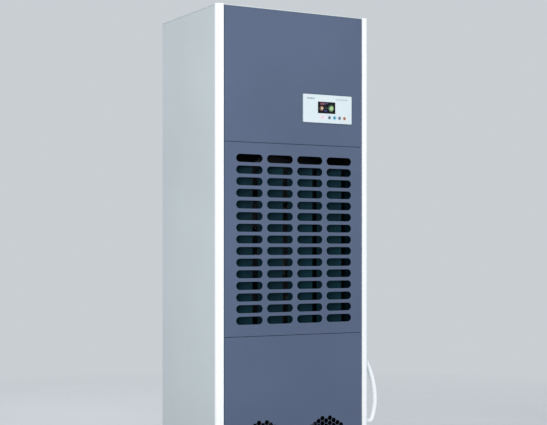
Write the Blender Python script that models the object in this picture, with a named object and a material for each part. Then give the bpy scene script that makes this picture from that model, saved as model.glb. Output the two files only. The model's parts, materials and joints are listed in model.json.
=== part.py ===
"""Floor-standing refrigerant dehumidifier for commercial rooms.

A sheet-steel cabinet on four swivel casters. Air is drawn through a lift-out filter at the back,
over an evaporator and a condenser, and two axial fans blow it out of the slotted front panel.
The compressor stands in the lower bay behind a hinged service door on the right side.

Metres, +Z up, the front faces -Y. The world origin is on the floor under the middle of the overall
box. Every shape is written in cabinet coordinates, whose origin is under the middle of the casing;
the empty "cabinet" carries the small offset between the two.
"""

import math

import bmesh
import bpy
from mathutils import Matrix, Vector

# ---------------------------------------------------------------- driving dimensions
WIDTH = 0.580
DEPTH = 0.420
HEIGHT = 1.650
GROUND_CLEARANCE = 0.075
SHEET = 0.0015
GAP = 0.0003
SEAM = 0.0015

LEFT, RIGHT = -WIDTH / 2, WIDTH / 2
FRONT, BACK = -DEPTH / 2, DEPTH / 2
BASE = GROUND_CLEARANCE
TOP = HEIGHT

POST_WIDTH = 0.025
POST_DEPTH = 0.016
POST_RADIUS = 0.013
LID_EDGE = 0.004
FLOOR_PLATE = 0.002
TRAY_LIP = 0.020

PANEL_RECESS = 0.001
PANEL_RETURN = 0.012
UPPER_SEAM_Z = 1.209
LOWER_SEAM_Z = 0.579

SLOT_COLUMNS, SLOT_ROWS = 4, 15
SLOT_LENGTH, SLOT_HEIGHT = 0.0975, 0.0262
SLOT_PITCH_X, SLOT_PITCH_Z = 0.114, 0.0376

VENT_CENTRE_X, VENT_CENTRE_Z = 0.121, 0.2195
VENT_RADIUS = 0.088
VENT_PITCH = 0.0235
VENT_HOLE = 0.0098

CONTROLLER_X, CONTROLLER_Z = 0.1235, 1.331
CONTROLLER_WIDTH, CONTROLLER_HEIGHT = 0.190, 0.094
CONTROLLER_PROUD = 0.005
SCREEN_X, SCREEN_Z = 0.1194, 1.3355
SCREEN_WIDTH, SCREEN_HEIGHT = 0.0685, 0.0385
BUTTON_NAMES = ("mode_button", "down_button", "up_button", "power_button")
FIRST_BUTTON_X, BUTTON_PITCH, BUTTON_Z = 0.1305, 0.0198, 1.3028
BUTTON_RADIUS, BUTTON_PROUD = 0.0045, 0.0004
LENS_X, LENS_RADIUS = 0.1022, 0.003

DOOR_FRONT, DOOR_REAR = -0.188, 0.180
DOOR_BOTTOM, DOOR_TOP = 0.098, 0.560
DOOR_CLEARANCE = 0.0018
DOOR_RETURN = 0.014
HINGE_X, HINGE_Y = RIGHT + 0.0045, 0.179
HINGE_Z = (0.180, 0.478)
KNUCKLE_RADIUS, KNUCKLE_BORE, HINGE_PIN_RADIUS = 0.0040, 0.0027, 0.0023
HANDLE_REACH = 0.057
HANDLE_Y = -0.170
HANDLE_BAR, HANDLE_BREADTH = 0.014, 0.020

FAN_Z = (0.742, 1.046)
FAN_PLATE_Y = -0.060
FAN_OPENING = 0.140
FAN_RADIUS, FAN_HUB, FAN_DEPTH = 0.133, 0.046, 0.040
FAN_BLADES = 5
MOTOR_RADIUS, MOTOR_LENGTH = 0.044, 0.058
SHAFT_RADIUS = 0.004

COIL_HALF_WIDTH, COIL_BOTTOM, COIL_TOP, COIL_DEPTH = 0.235, 0.622, 1.190, 0.044
CONDENSER_Y, EVAPORATOR_Y = 0.052, 0.112

RAIL_PROUD = 0.014
SPIGOT_PROUD = 0.025
FILTER_BOTTOM, FILTER_TOP, FILTER_HALF_WIDTH = 0.606, 1.196, 0.243

WHEEL_RADIUS, WHEEL_WIDTH = 0.025, 0.020
CASTER_X, CASTER_Y, CASTER_TRAIL = 0.235, 0.150, 0.018
CASTER_STEM = 0.005

# The handle stands out on the right and the drain spigot at the back, so the casing sits off centre.
CABINET_X = -HANDLE_REACH / 2
CABINET_Y = (CONTROLLER_PROUD + BUTTON_PROUD - SPIGOT_PROUD) / 2

MATERIAL_LOOKS = {
    "post_white": ((0.95, 0.96, 0.96), 0.0, 0.35),
    "casing_grey": ((0.60, 0.65, 0.67), 0.0, 0.45),
    "panel_slate": ((0.115, 0.150, 0.235), 0.0, 0.45),
    "bezel_white": ((0.82, 0.87, 0.90), 0.0, 0.30),
    "screen_glass": ((0.02, 0.02, 0.03), 0.0, 0.10),
    "button_grey": ((0.30, 0.36, 0.38), 0.0, 0.40),
    "button_cyan": ((0.10, 0.45, 0.60), 0.0, 0.40),
    "button_orange": ((0.75, 0.28, 0.08), 0.0, 0.40),
    "lens_pink": ((0.85, 0.45, 0.50), 0.0, 0.20),
    "duct_teal": ((0.015, 0.060, 0.070), 0.0, 0.50),
    "zinc_steel": ((0.55, 0.57, 0.58), 1.0, 0.40),
    "coil_aluminium": ((0.70, 0.72, 0.74), 1.0, 0.35),
    "copper": ((0.72, 0.34, 0.20), 1.0, 0.30),
    "compressor_black": ((0.02, 0.02, 0.02), 0.0, 0.45),
    "black_plastic": ((0.03, 0.03, 0.03), 0.0, 0.50),
    "fan_black": ((0.03, 0.03, 0.035), 0.0, 0.40),
    "circuit_green": ((0.02, 0.16, 0.08), 0.0, 0.45),
    "filter_mesh": ((0.10, 0.11, 0.12), 0.0, 0.70),
    "pan_plastic": ((0.50, 0.52, 0.53), 0.0, 0.50),
    "clear_hose": ((0.70, 0.72, 0.72), 0.0, 0.35),
    "tyre_rubber": ((0.06, 0.06, 0.065), 0.0, 0.75),
    "brake_red": ((0.50, 0.04, 0.03), 0.0, 0.45),
}


# ---------------------------------------------------------------- scene and modelling helpers
def clear_scene():
    for obj in list(bpy.data.objects):
        bpy.data.objects.remove(obj)


def make_materials():
    made = {}
    for name, (colour, metallic, roughness) in MATERIAL_LOOKS.items():
        material = bpy.data.materials.new(name)
        material.use_nodes = True
        shader = material.node_tree.nodes["Principled BSDF"]
        shader.inputs["Base Color"].default_value = (*colour, 1.0)
        shader.inputs["Metallic"].default_value = metallic
        shader.inputs["Roughness"].default_value = roughness
        made[name] = material
    return made


clear_scene()
MATERIALS = make_materials()
CABINET = bpy.data.objects.new("cabinet", None)
CABINET.location = (CABINET_X, CABINET_Y, 0)
bpy.context.scene.collection.objects.link(CABINET)


def finish(name, bm, material, origin=(0, 0, 0), smooth=False):
    """Turns a bmesh in cabinet coordinates into an object whose own origin is at `origin`."""
    bmesh.ops.translate(bm, verts=bm.verts, vec=-Vector(origin))
    bmesh.ops.recalc_face_normals(bm, faces=bm.faces)
    mesh = bpy.data.meshes.new(name)
    bm.to_mesh(mesh)
    bm.free()
    mesh.materials.append(MATERIALS[material])
    if smooth:
        mesh.shade_smooth()
        mesh.set_sharp_from_angle(angle=math.radians(35))
    obj = bpy.data.objects.new(name, mesh)
    obj.location = origin
    obj.parent = CABINET
    bpy.context.scene.collection.objects.link(obj)
    return obj


def helper(obj):
    """Marks a shape that only cuts or joins another one."""
    obj.hide_render = True
    obj.display_type = "WIRE"
    return obj


def boolean(obj, other, operation):
    modifier = obj.modifiers.new(f"{operation.lower()}_{other.name}", "BOOLEAN")
    modifier.object = helper(other)
    modifier.operation = operation
    return obj


def cut(obj, *cutters):
    for cutter in cutters:
        boolean(obj, cutter, "DIFFERENCE")
    return obj


def join(obj, *others):
    for other in others:
        boolean(obj, other, "UNION")
    return obj


def bevel(obj, width, segments=1, angle=40):
    modifier = obj.modifiers.new("bevel", "BEVEL")
    modifier.width = width
    modifier.segments = segments
    modifier.limit_method = "ANGLE"
    modifier.angle_limit = math.radians(angle)
    return obj


def add_box(bm, low, high):
    low, high = Vector(low), Vector(high)
    place = Matrix.Translation((low + high) / 2) @ Matrix.Diagonal((*(high - low), 1))
    bmesh.ops.create_cube(bm, size=1, matrix=place)


def box(name, low, high, material, origin=(0, 0, 0)):
    bm = bmesh.new()
    add_box(bm, low, high)
    return finish(name, bm, material, origin)


AXIS_FRAMES = {
    "X": Matrix(((0, 0, 1), (1, 0, 0), (0, 1, 0))).to_4x4(),
    "Y": Matrix(((1, 0, 0), (0, 0, 1), (0, 1, 0))).to_4x4(),
    "Z": Matrix.Identity(4),
}


def add_prism(bm, outline, axis, start, end):
    """Extrudes a closed outline along axis. Outline points are (Y, Z), (X, Z) or (X, Y)."""
    frame = AXIS_FRAMES[axis]
    rims = [[bm.verts.new(frame @ Vector((u, v, w))) for u, v in outline] for w in (start, end)]
    bm.faces.new(rims[0])
    bm.faces.new(rims[1])
    count = len(outline)
    for i in range(count):
        j = (i + 1) % count
        bm.faces.new((rims[0][i], rims[0][j], rims[1][j], rims[1][i]))


def prism(name, outline, axis, start, end, material, origin=(0, 0, 0), smooth=False):
    bm = bmesh.new()
    add_prism(bm, outline, axis, start, end)
    return finish(name, bm, material, origin, smooth)


def lathe(name, profile, centre, axis, material, sides=24, origin=(0, 0, 0), phase=0):
    """Turns a closed profile of (radius, height) points about axis through centre."""
    bm = bmesh.new()
    rings = []
    for radius, height in profile:
        if radius == 0:
            rings.append([bm.verts.new((0, 0, height))] * sides)
            continue
        ring = []
        for k in range(sides):
            turn = 2 * math.pi * (k + phase) / sides
            ring.append(bm.verts.new((radius * math.cos(turn), radius * math.sin(turn), height)))
        rings.append(ring)
    for i, ring in enumerate(rings):
        following = rings[(i + 1) % len(rings)]
        for k in range(sides):
            corners = (ring[k], ring[(k + 1) % sides], following[(k + 1) % sides], following[k])
            distinct = list(dict.fromkeys(corners))
            if len(distinct) > 2:
                bm.faces.new(distinct)
    place = Matrix.Translation(centre) @ AXIS_FRAMES[axis]
    bmesh.ops.transform(bm, matrix=place, verts=bm.verts)
    return finish(name, bm, material, origin, smooth=True)


def cylinder(name, radius, start, end, centre, axis, material, sides=16, origin=(0, 0, 0)):
    profile = [(0, start), (radius, start), (radius, end), (0, end)]
    return lathe(name, profile, centre, axis, material, sides, origin)


def arc(centre, radius, start_degrees, end_degrees, steps):
    """Points along an arc, both ends included."""
    points = []
    for k in range(steps + 1):
        turn = math.radians(start_degrees + (end_degrees - start_degrees) * k / steps)
        points.append((centre[0] + radius * math.cos(turn), centre[1] + radius * math.sin(turn)))
    return points


def obround(centre_u, centre_v, length, height, steps=5):
    radius = height / 2
    reach = length / 2 - radius
    right = arc((centre_u + reach, centre_v), radius, -90, 90, steps)
    left = arc((centre_u - reach, centre_v), radius, 90, 270, steps)
    return right + left


def rounded_rectangle(u0, v0, u1, v1, radius, steps=4):
    corners = (
        ((u1 - radius, v0 + radius), -90),
        ((u1 - radius, v1 - radius), 0),
        ((u0 + radius, v1 - radius), 90),
        ((u0 + radius, v0 + radius), 180),
    )
    points = []
    for centre, start in corners:
        points += arc(centre, radius, start, start + 90, steps)
    return points


def bezier(p0, p1, p2, p3, steps):
    """Points along a cubic curve, both ends included."""
    points = []
    for k in range(steps + 1):
        t = k / steps
        weights = ((1 - t) ** 3, 3 * t * (1 - t) ** 2, 3 * t * t * (1 - t), t**3)
        points.append(sum((Vector(p) * w for p, w in zip((p0, p1, p2, p3), weights)), Vector((0, 0))))
    return points


def smooth_route(points, step):
    """Reads a Catmull-Rom curve through the route's points about every `step`, straight at its ends."""
    points = [Vector(p) for p in points]
    points.insert(1, points[0].lerp(points[1], 0.4))
    points.insert(-1, points[-1].lerp(points[-2], 0.4))
    padded = [2 * points[0] - points[1], *points, 2 * points[-1] - points[-2]]
    route = [points[0]]
    for before, start, end, after in zip(padded, padded[1:], padded[2:], padded[3:]):
        count = max(1, round((end - start).length / step))
        for k in range(1, count + 1):
            t = k / count
            route.append(
                0.5
                * (
                    2 * start
                    + (end - before) * t
                    + (2 * before - 5 * start + 4 * end - after) * t * t
                    + (3 * start - before - 3 * end + after) * t**3
                )
            )
    return route


def tube(name, points, radius, material, step=0.02, sides=8):
    """A bent pipe or hose: a ring carried along a smooth curve through its route's points."""
    route = smooth_route(points, step)
    last = len(route) - 1
    bm = bmesh.new()
    rings = []
    normal = Vector((0.31, 0.95, 0.02))
    for i, point in enumerate(route):
        along = (route[min(i + 1, last)] - route[max(i - 1, 0)]).normalized()
        normal = (normal - along * normal.dot(along)).normalized()
        across = along.cross(normal)
        ring = []
        for k in range(sides):
            turn = 2 * math.pi * k / sides
            ring.append(bm.verts.new(point + radius * (normal * math.cos(turn) + across * math.sin(turn))))
        rings.append(ring)
    for first, second in zip(rings, rings[1:]):
        for k in range(sides):
            bm.faces.new((first[k], first[(k + 1) % sides], second[(k + 1) % sides], second[k]))
    bm.faces.new(rings[0])
    bm.faces.new(rings[-1])
    return finish(name, bm, material, smooth=True)


# ---------------------------------------------------------------- base, posts and casing
PANEL_FACE = FRONT + PANEL_RECESS
SIDE_START = FRONT + POST_DEPTH + GAP
INNER_X = RIGHT - SHEET - GAP
INNER_FRONT = SIDE_START + SHEET + 0.0007
INNER_BACK = BACK - SHEET - GAP
CASING_TOP = TOP - LID_EDGE - GAP


def caster_places():
    """(name ending, X, Y) of each caster: front or rear, left or right."""
    for row, y in (("f", -CASTER_Y), ("r", CASTER_Y)):
        for side, x in (("l", -CASTER_X), ("r", CASTER_X)):
            yield row + side, x, y


def floor_outline():
    front_left = arc((LEFT + POST_RADIUS, FRONT + POST_RADIUS), POST_RADIUS, 180, 270, 4)
    front_right = arc((RIGHT - POST_RADIUS, FRONT + POST_RADIUS), POST_RADIUS, 270, 360, 4)
    return front_left + front_right + [(RIGHT, BACK), (LEFT, BACK)]


def make_base_tray():
    tray = prism("base_tray", floor_outline(), "Z", BASE, BASE + FLOOR_PLATE, "zinc_steel")
    lip_top = BASE + FLOOR_PLATE + TRAY_LIP
    lip = box(
        "tray_lip",
        (-INNER_X, INNER_FRONT, BASE + FLOOR_PLATE / 2),
        (INNER_X, INNER_BACK, lip_top),
        "zinc_steel",
    )
    hollow = box(
        "tray_hollow",
        (-INNER_X + SHEET, INNER_FRONT + SHEET, BASE),
        (INNER_X - SHEET, INNER_BACK - SHEET, lip_top + 0.01),
        "zinc_steel",
    )
    cut(lip, hollow)
    join(tray, lip)
    for ending, x, y in caster_places():
        radius = CASTER_STEM + 0.0006
        hole = cylinder(f"stem_hole_{ending}", radius, -0.01, 0.01, (x, y, BASE), "Z", "zinc_steel")
        cut(tray, hole)


def make_front_post(name, side):
    """A corner column with one rounded outer corner. side is -1 for left and 1 for right."""
    inner, outer = side * (RIGHT - POST_WIDTH), side * RIGHT
    centre = (side * (RIGHT - POST_RADIUS), FRONT + POST_RADIUS)
    rounded = arc(centre, POST_RADIUS, 270, 270 + side * 90, 6)
    outline = [(inner, FRONT), *rounded, (outer, FRONT + POST_DEPTH), (inner, FRONT + POST_DEPTH)]
    prism(name, outline, "Z", BASE + FLOOR_PLATE + GAP, TOP, "post_white", smooth=True)


def side_profile(side):
    """Plan of a side sheet: a flat web with a flange turned in at the front and at the back."""
    web, inner = side * RIGHT, side * (RIGHT - SHEET)
    front_tip, back_tip = side * (RIGHT - 0.020), side * (RIGHT - 0.015)
    return [
        (web, SIDE_START),
        (web, BACK),
        (back_tip, BACK),
        (back_tip, BACK - SHEET),
        (inner, BACK - SHEET),
        (inner, SIDE_START + SHEET),
        (front_tip, SIDE_START + SHEET),
        (front_tip, SIDE_START),
    ]


def make_side_panels():
    start = BASE + FLOOR_PLATE + GAP
    prism("left_side_panel", side_profile(-1), "Z", start, CASING_TOP, "casing_grey")
    right = prism("right_side_panel", side_profile(1), "Z", start, CASING_TOP, "casing_grey")
    opening = box(
        "door_opening",
        (RIGHT - 0.01, DOOR_FRONT, DOOR_BOTTOM),
        (RIGHT + 0.01, DOOR_REAR, DOOR_TOP),
        "casing_grey",
    )
    cut(right, opening)


def make_rear_panel():
    """The back sheet, with intake slots, two rails and a stop that hold the filter outside it."""
    half = RIGHT - 0.015 - GAP
    start = BASE + FLOOR_PLATE + GAP
    panel = box("rear_panel", (-half, BACK - SHEET, start), (half, BACK, CASING_TOP), "casing_grey")
    bm = bmesh.new()
    rows, columns = 14, 3
    slot_w, slot_h = 0.130, 0.024
    pitch_x, pitch_z = 0.148, 0.0395
    centre_z = (FILTER_BOTTOM + FILTER_TOP) / 2
    for row in range(rows):
        z = centre_z + (row - (rows - 1) / 2) * pitch_z
        for column in range(columns):
            x = (column - (columns - 1) / 2) * pitch_x
            low = (x - slot_w / 2, BACK - 0.01, z - slot_h / 2)
            add_box(bm, low, (x + slot_w / 2, BACK + 0.01, z + slot_h / 2))
    for x, z, radius in ((SPIGOT_X, SPIGOT_Z, 0.0125), (GLAND_X, GLAND_Z, 0.0085)):
        add_prism(bm, arc((x, z), radius, 0, 345, 23), "Y", BACK - 0.01, BACK + 0.01)
    cut(panel, finish("rear_slots", bm, "casing_grey"))
    for side in (-1, 1):
        outer = side * (FILTER_HALF_WIDTH + 0.004)
        outline = [
            (outer, BACK - 0.0007),
            (outer, BACK + RAIL_PROUD),
            (outer - side * 0.016, BACK + RAIL_PROUD),
            (outer - side * 0.016, BACK + RAIL_PROUD - 0.002),
            (outer - side * 0.002, BACK + RAIL_PROUD - 0.002),
            (outer - side * 0.002, BACK - 0.0007),
        ]
        rail = prism(f"rail_{side}", outline, "Z", FILTER_BOTTOM - 0.004, FILTER_TOP + 0.004, "casing_grey")
        join(panel, rail)
    stop = box(
        "filter_stop",
        (-FILTER_HALF_WIDTH - 0.003, BACK - 0.0007, FILTER_BOTTOM - 0.003),
        (FILTER_HALF_WIDTH + 0.003, BACK + RAIL_PROUD - 0.001, FILTER_BOTTOM - 0.0006),
        "casing_grey",
    )
    join(panel, stop)


def make_top_cover():
    """A shallow lid whose front corners are notched round the posts."""
    notch_x, notch_y = RIGHT - POST_WIDTH - GAP, FRONT + POST_DEPTH + GAP
    front = PANEL_FACE - 0.0005

    def plan(inset):
        return [
            (-notch_x + inset, front + inset),
            (notch_x - inset, front + inset),
            (notch_x - inset, notch_y + inset),
            (RIGHT - inset, notch_y + inset),
            (RIGHT - inset, BACK - inset),
            (LEFT + inset, BACK - inset),
            (LEFT + inset, notch_y + inset),
            (-notch_x + inset, notch_y + inset),
        ]

    lid = prism("top_cover", plan(0), "Z", TOP - LID_EDGE, TOP, "casing_grey")
    hollow = prism("lid_hollow", plan(0.004), "Z", TOP - LID_EDGE - 0.01, TOP - SHEET, "casing_grey")
    cut(lid, hollow)


# ---------------------------------------------------------------- front panels
PANEL_HALF = RIGHT - POST_WIDTH - SEAM


def front_pan(name, bottom, top, material):
    """A pressed front panel: a flat face with its four edges folded back."""
    back = PANEL_FACE + PANEL_RETURN
    pan = box(name, (-PANEL_HALF, PANEL_FACE, bottom), (PANEL_HALF, back, top), material)
    hollow = box(
        f"{name}_hollow",
        (-PANEL_HALF + SHEET, PANEL_FACE + SHEET, bottom + SHEET),
        (PANEL_HALF - SHEET, PANEL_FACE + PANEL_RETURN + 0.01, top - SHEET),
        material,
    )
    return cut(pan, hollow)


def make_upper_panel():
    low_edge, high_edge = UPPER_SEAM_Z + SEAM / 2, TOP - LID_EDGE - SEAM / 2
    panel = front_pan("upper_front_panel", low_edge, high_edge, "panel_slate")
    half_w, half_h = CONTROLLER_WIDTH / 2 - 0.006, CONTROLLER_HEIGHT / 2 - 0.006
    opening = box(
        "controller_opening",
        (CONTROLLER_X - half_w, FRONT - 0.01, CONTROLLER_Z - half_h),
        (CONTROLLER_X + half_w, PANEL_FACE + 0.004, CONTROLLER_Z + half_h),
        "panel_slate",
    )
    cut(panel, opening)


def make_outlet_grille():
    """The middle panel, with round-ended slots in a regular grid."""
    bottom, top = LOWER_SEAM_Z + SEAM / 2, UPPER_SEAM_Z - SEAM / 2
    panel = front_pan("outlet_grille", bottom, top, "panel_slate")
    bm = bmesh.new()
    for row in range(SLOT_ROWS):
        z = (bottom + top) / 2 + (row - (SLOT_ROWS - 1) / 2) * SLOT_PITCH_Z
        for column in range(SLOT_COLUMNS):
            x = (column - (SLOT_COLUMNS - 1) / 2) * SLOT_PITCH_X
            outline = obround(x, z, SLOT_LENGTH, SLOT_HEIGHT)
            add_prism(bm, outline, "Y", FRONT - 0.01, PANEL_FACE + 0.005)
    cut(panel, finish("outlet_slots", bm, "panel_slate"))


def hexagon(u, v, radius):
    return arc((u, v), radius, 30, 330, 5)


def make_lower_panel():
    """The lower panel, with two round fields of hexagonal vent holes."""
    low_edge, high_edge = BASE + FLOOR_PLATE + 0.002, LOWER_SEAM_Z - SEAM / 2
    panel = front_pan("lower_front_panel", low_edge, high_edge, "panel_slate")
    bm = bmesh.new()
    reach = math.ceil(VENT_RADIUS / VENT_PITCH) + 1
    for side in (-1, 1):
        for row in range(-reach, reach + 1):
            for column in range(-reach, reach + 1):
                u = (column + 0.5 * (row % 2)) * VENT_PITCH
                v = row * VENT_PITCH * math.sqrt(3) / 2
                if math.hypot(u, v) + VENT_HOLE < VENT_RADIUS + 0.004:
                    outline = hexagon(side * VENT_CENTRE_X + u, VENT_CENTRE_Z + v, VENT_HOLE)
                    add_prism(bm, outline, "Y", FRONT - 0.01, PANEL_FACE + 0.005)
    cut(panel, finish("vent_holes", bm, "panel_slate"))


# ---------------------------------------------------------------- controller
def make_controller():
    half_w, half_h = CONTROLLER_WIDTH / 2, CONTROLLER_HEIGHT / 2
    face = PANEL_FACE - GAP
    proud = FRONT - CONTROLLER_PROUD
    outline = rounded_rectangle(
        CONTROLLER_X - half_w, CONTROLLER_Z - half_h, CONTROLLER_X + half_w, CONTROLLER_Z + half_h, 0.003, 2
    )
    bezel = prism("controller_bezel", outline, "Y", proud, face, "bezel_white")
    skirt_w, skirt_h = half_w - 0.0065, half_h - 0.0065
    skirt = box(
        "bezel_skirt",
        (CONTROLLER_X - skirt_w, face - 0.001, CONTROLLER_Z - skirt_h),
        (CONTROLLER_X + skirt_w, PANEL_FACE + 0.018, CONTROLLER_Z + skirt_h),
        "bezel_white",
    )
    join(bezel, skirt)
    hollow = box(
        "bezel_hollow",
        (CONTROLLER_X - skirt_w + 0.002, face - 0.003, CONTROLLER_Z - skirt_h + 0.002),
        (CONTROLLER_X + skirt_w - 0.002, PANEL_FACE + 0.03, CONTROLLER_Z + skirt_h - 0.002),
        "bezel_white",
    )
    cut(bezel, hollow)
    bm = bmesh.new()
    half_sw, half_sh = SCREEN_WIDTH / 2, SCREEN_HEIGHT / 2
    add_box(
        bm,
        (SCREEN_X - half_sw, proud - 0.01, SCREEN_Z - half_sh),
        (SCREEN_X + half_sw, face + 0.001, SCREEN_Z + half_sh),
    )
    for k in range(len(BUTTON_NAMES)):
        x = FIRST_BUTTON_X + k * BUTTON_PITCH
        rim = arc((x, BUTTON_Z), BUTTON_RADIUS + 0.0004, 0, 337.5, 15)
        add_prism(bm, rim, "Y", proud - 0.01, face + 0.001)
    rim = arc((LENS_X, BUTTON_Z), LENS_RADIUS + 0.0003, 0, 330, 11)
    add_prism(bm, rim, "Y", proud - 0.01, face + 0.001)
    cut(bezel, finish("bezel_openings", bm, "bezel_white"))

    box(
        "display_screen",
        (SCREEN_X - half_sw + GAP, proud + 0.0006, SCREEN_Z - half_sh + GAP),
        (SCREEN_X + half_sw - GAP, PANEL_FACE + 0.004, SCREEN_Z + half_sh - GAP),
        "screen_glass",
    )
    colours = ("button_grey", "button_cyan", "button_grey", "button_orange")
    for k, (name, colour) in enumerate(zip(BUTTON_NAMES, colours)):
        place = (FIRST_BUTTON_X + k * BUTTON_PITCH, proud, BUTTON_Z)
        profile = [
            (0, -BUTTON_PROUD),
            (BUTTON_RADIUS - 0.0006, -BUTTON_PROUD),
            (BUTTON_RADIUS, 0.0002),
            (BUTTON_RADIUS, 0.0048),
            (0.0015, 0.0048),
            (0.0015, 0.0085),
            (0, 0.0085),
        ]
        lathe(name, profile, place, "Y", colour, sides=16, origin=place)
    lens_place = (LENS_X, proud, BUTTON_Z)
    cylinder("status_lens", LENS_RADIUS, -0.0003, 0.008, lens_place, "Y", "lens_pink", sides=12)
    box(
        "control_board",
        (CONTROLLER_X - skirt_w + 0.0025, PANEL_FACE + 0.0115, CONTROLLER_Z - skirt_h + 0.0025),
        (CONTROLLER_X + skirt_w - 0.0025, PANEL_FACE + 0.0131, CONTROLLER_Z + skirt_h - 0.0025),
        "circuit_green",
    )


# ---------------------------------------------------------------- service door, hinges, handle
def knuckle(name, z0, z1):
    """One barrel of a hinge, bored for the pin."""
    profile = [(KNUCKLE_BORE, z0), (KNUCKLE_RADIUS, z0), (KNUCKLE_RADIUS, z1), (KNUCKLE_BORE, z1)]
    return lathe(name, profile, (HINGE_X, HINGE_Y, 0), "Z", "zinc_steel", sides=16)


def hinge_leaf_outline(side):
    """Plan of a leaf lying on the outer face. side is 1 for the fixed leaf, behind the axis."""
    face = RIGHT + GAP if side > 0 else RIGHT - 0.0005
    outer = RIGHT + 0.0020
    near, far = HINGE_Y + side * 0.0024, HINGE_Y + side * 0.026
    return [(face, near), (outer, near), (outer, far), (face, far)]


def make_service_door():
    low = (RIGHT - DOOR_RETURN, DOOR_FRONT + DOOR_CLEARANCE, DOOR_BOTTOM + DOOR_CLEARANCE)
    high = (RIGHT, DOOR_REAR - DOOR_CLEARANCE, DOOR_TOP - DOOR_CLEARANCE)
    axis = (HINGE_X, HINGE_Y, (DOOR_BOTTOM + DOOR_TOP) / 2)
    door = box("service_door", low, high, "casing_grey", origin=axis)
    hollow = box(
        "door_hollow",
        (low[0] - 0.01, low[1] + SHEET, low[2] + SHEET),
        (high[0] - SHEET, high[1] - SHEET, high[2] - SHEET),
        "casing_grey",
    )
    cut(door, hollow)
    for ending, z in zip(("lower", "upper"), HINGE_Z):
        leaf = hinge_leaf_outline(-1)
        plate = prism(f"door_leaf_{ending}", leaf, "Z", z - 0.010, z + 0.010, "zinc_steel")
        barrel = knuckle(f"door_knuckle_{ending}", z - 0.0097, z + 0.0097)
        join(door, plate, barrel)

        leaf = hinge_leaf_outline(1)
        fixed = prism(f"hinge_leaf_{ending}", leaf, "Z", z - 0.030, z + 0.030, "zinc_steel")
        radius, axis = KNUCKLE_RADIUS + 0.0008, (HINGE_X, HINGE_Y, z)
        relief = cylinder(f"relief_{ending}", radius, -0.0102, 0.0102, axis, "Z", "zinc_steel")
        for start, end in ((-0.030, -0.0102), (0.0102, 0.030)):
            join(fixed, knuckle(f"fixed_knuckle_{ending}_{start}", z + start, z + end))
        cut(fixed, relief)
        pin_profile = [
            (0, z - 0.0315),
            (HINGE_PIN_RADIUS, z - 0.0315),
            (HINGE_PIN_RADIUS, z + 0.0304),
            (0.0036, z + 0.0304),
            (0.0036, z + 0.0325),
            (0, z + 0.0325),
        ]
        lathe(f"hinge_pin_{ending}", pin_profile, (HINGE_X, HINGE_Y, 0), "Z", "zinc_steel", sides=16)

    box(
        "door_catch",
        (RIGHT - 0.028, INNER_FRONT - 0.0004, 0.325),
        (RIGHT - DOOR_RETURN - GAP, INNER_FRONT + 0.014, 0.361),
        "black_plastic",
    )


def handle_outline():
    """Side view of the bow handle: a long upper slope, a short lower knee, and two feet."""
    half = HANDLE_BAR / 2
    crown = HANDLE_REACH - half
    upper = bezier((0.002, 0.494), (0.030, 0.456), (crown, 0.400), (crown, 0.344), 9)
    lower = bezier((crown, 0.344), (crown, 0.318), (0.043, 0.294), (0.037, 0.279), 5)
    knee = bezier((0.037, 0.279), (0.034, 0.273), (0.030, 0.272), (0.022, 0.272), 4)
    line = upper + lower[1:] + knee[1:] + [Vector((0.0, 0.272))]
    outer, inner = [], []
    for i, point in enumerate(line):
        along = (line[min(i + 1, len(line) - 1)] - line[max(i - 1, 0)]).normalized()
        across = Vector((-along.y, along.x)) * half
        outer.append(point + across)
        inner.append(point - across)
    face = RIGHT + GAP
    outline = [(face + max(0.0, p.x), p.y) for p in outer + inner[::-1]]
    return outline


def make_handle():
    low, high = HANDLE_Y - HANDLE_BREADTH / 2, HANDLE_Y + HANDLE_BREADTH / 2
    handle = prism("door_handle", handle_outline(), "Y", low, high, "post_white")
    bevel(handle, 0.0032, 2, 60)


# ---------------------------------------------------------------- decks and air path
def make_decks():
    lower = box("lower_deck", (-INNER_X, INNER_FRONT, 0.5745), (INNER_X, INNER_BACK, 0.5765), "zinc_steel")
    bm = bmesh.new()
    for x, y in ((DISCHARGE_X, DISCHARGE_Y), (SUCTION_X, SUCTION_Y), (DRAIN_X, DRAIN_Y)):
        add_prism(bm, arc((x, y), 0.013, 0, 337.5, 15), "Z", 0.56, 0.59)
    cut(lower, finish("deck_holes", bm, "zinc_steel"))
    box("upper_deck", (-INNER_X, INNER_FRONT, 1.2085), (INNER_X, INNER_BACK, 1.2105), "zinc_steel")


VANE_COUNT = 4
VANE_CHORD, VANE_ANGLE = 0.083, 29
VANE_SHIFT = -0.016
VANE_TOP = 1.143


def make_vane_frame():
    """A frame behind the outlet slots, with one fixed turning vane for each slot column."""
    front, back = PANEL_FACE + PANEL_RETURN + 0.004, PANEL_FACE + PANEL_RETURN + 0.048
    half, bottom, top = 0.240, LOWER_SEAM_Z + 0.020, VANE_TOP
    frame = box("vane_frame", (-half, front, bottom), (half, back, top), "duct_teal")
    window = box(
        "vane_window",
        (-half + 0.006, front - 0.01, bottom + 0.006),
        (half - 0.006, back + 0.01, top - 0.006),
        "duct_teal",
    )
    cut(frame, window)
    turn = math.radians(VANE_ANGLE)
    along = Vector((math.cos(turn), -math.sin(turn))) * VANE_CHORD / 2
    across = Vector((math.sin(turn), math.cos(turn))) * 0.001
    for k in range(VANE_COUNT):
        x = (k - (VANE_COUNT - 1) / 2) * SLOT_PITCH_X + VANE_SHIFT
        centre = Vector((x, (front + back) / 2))
        near, far = centre - across, centre + across
        outline = [near - along, near + along, far + along, far - along]
        vane = prism(f"vane_{k}", outline, "Z", bottom + 0.003, top - 0.003, "duct_teal")
        join(frame, vane)


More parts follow.
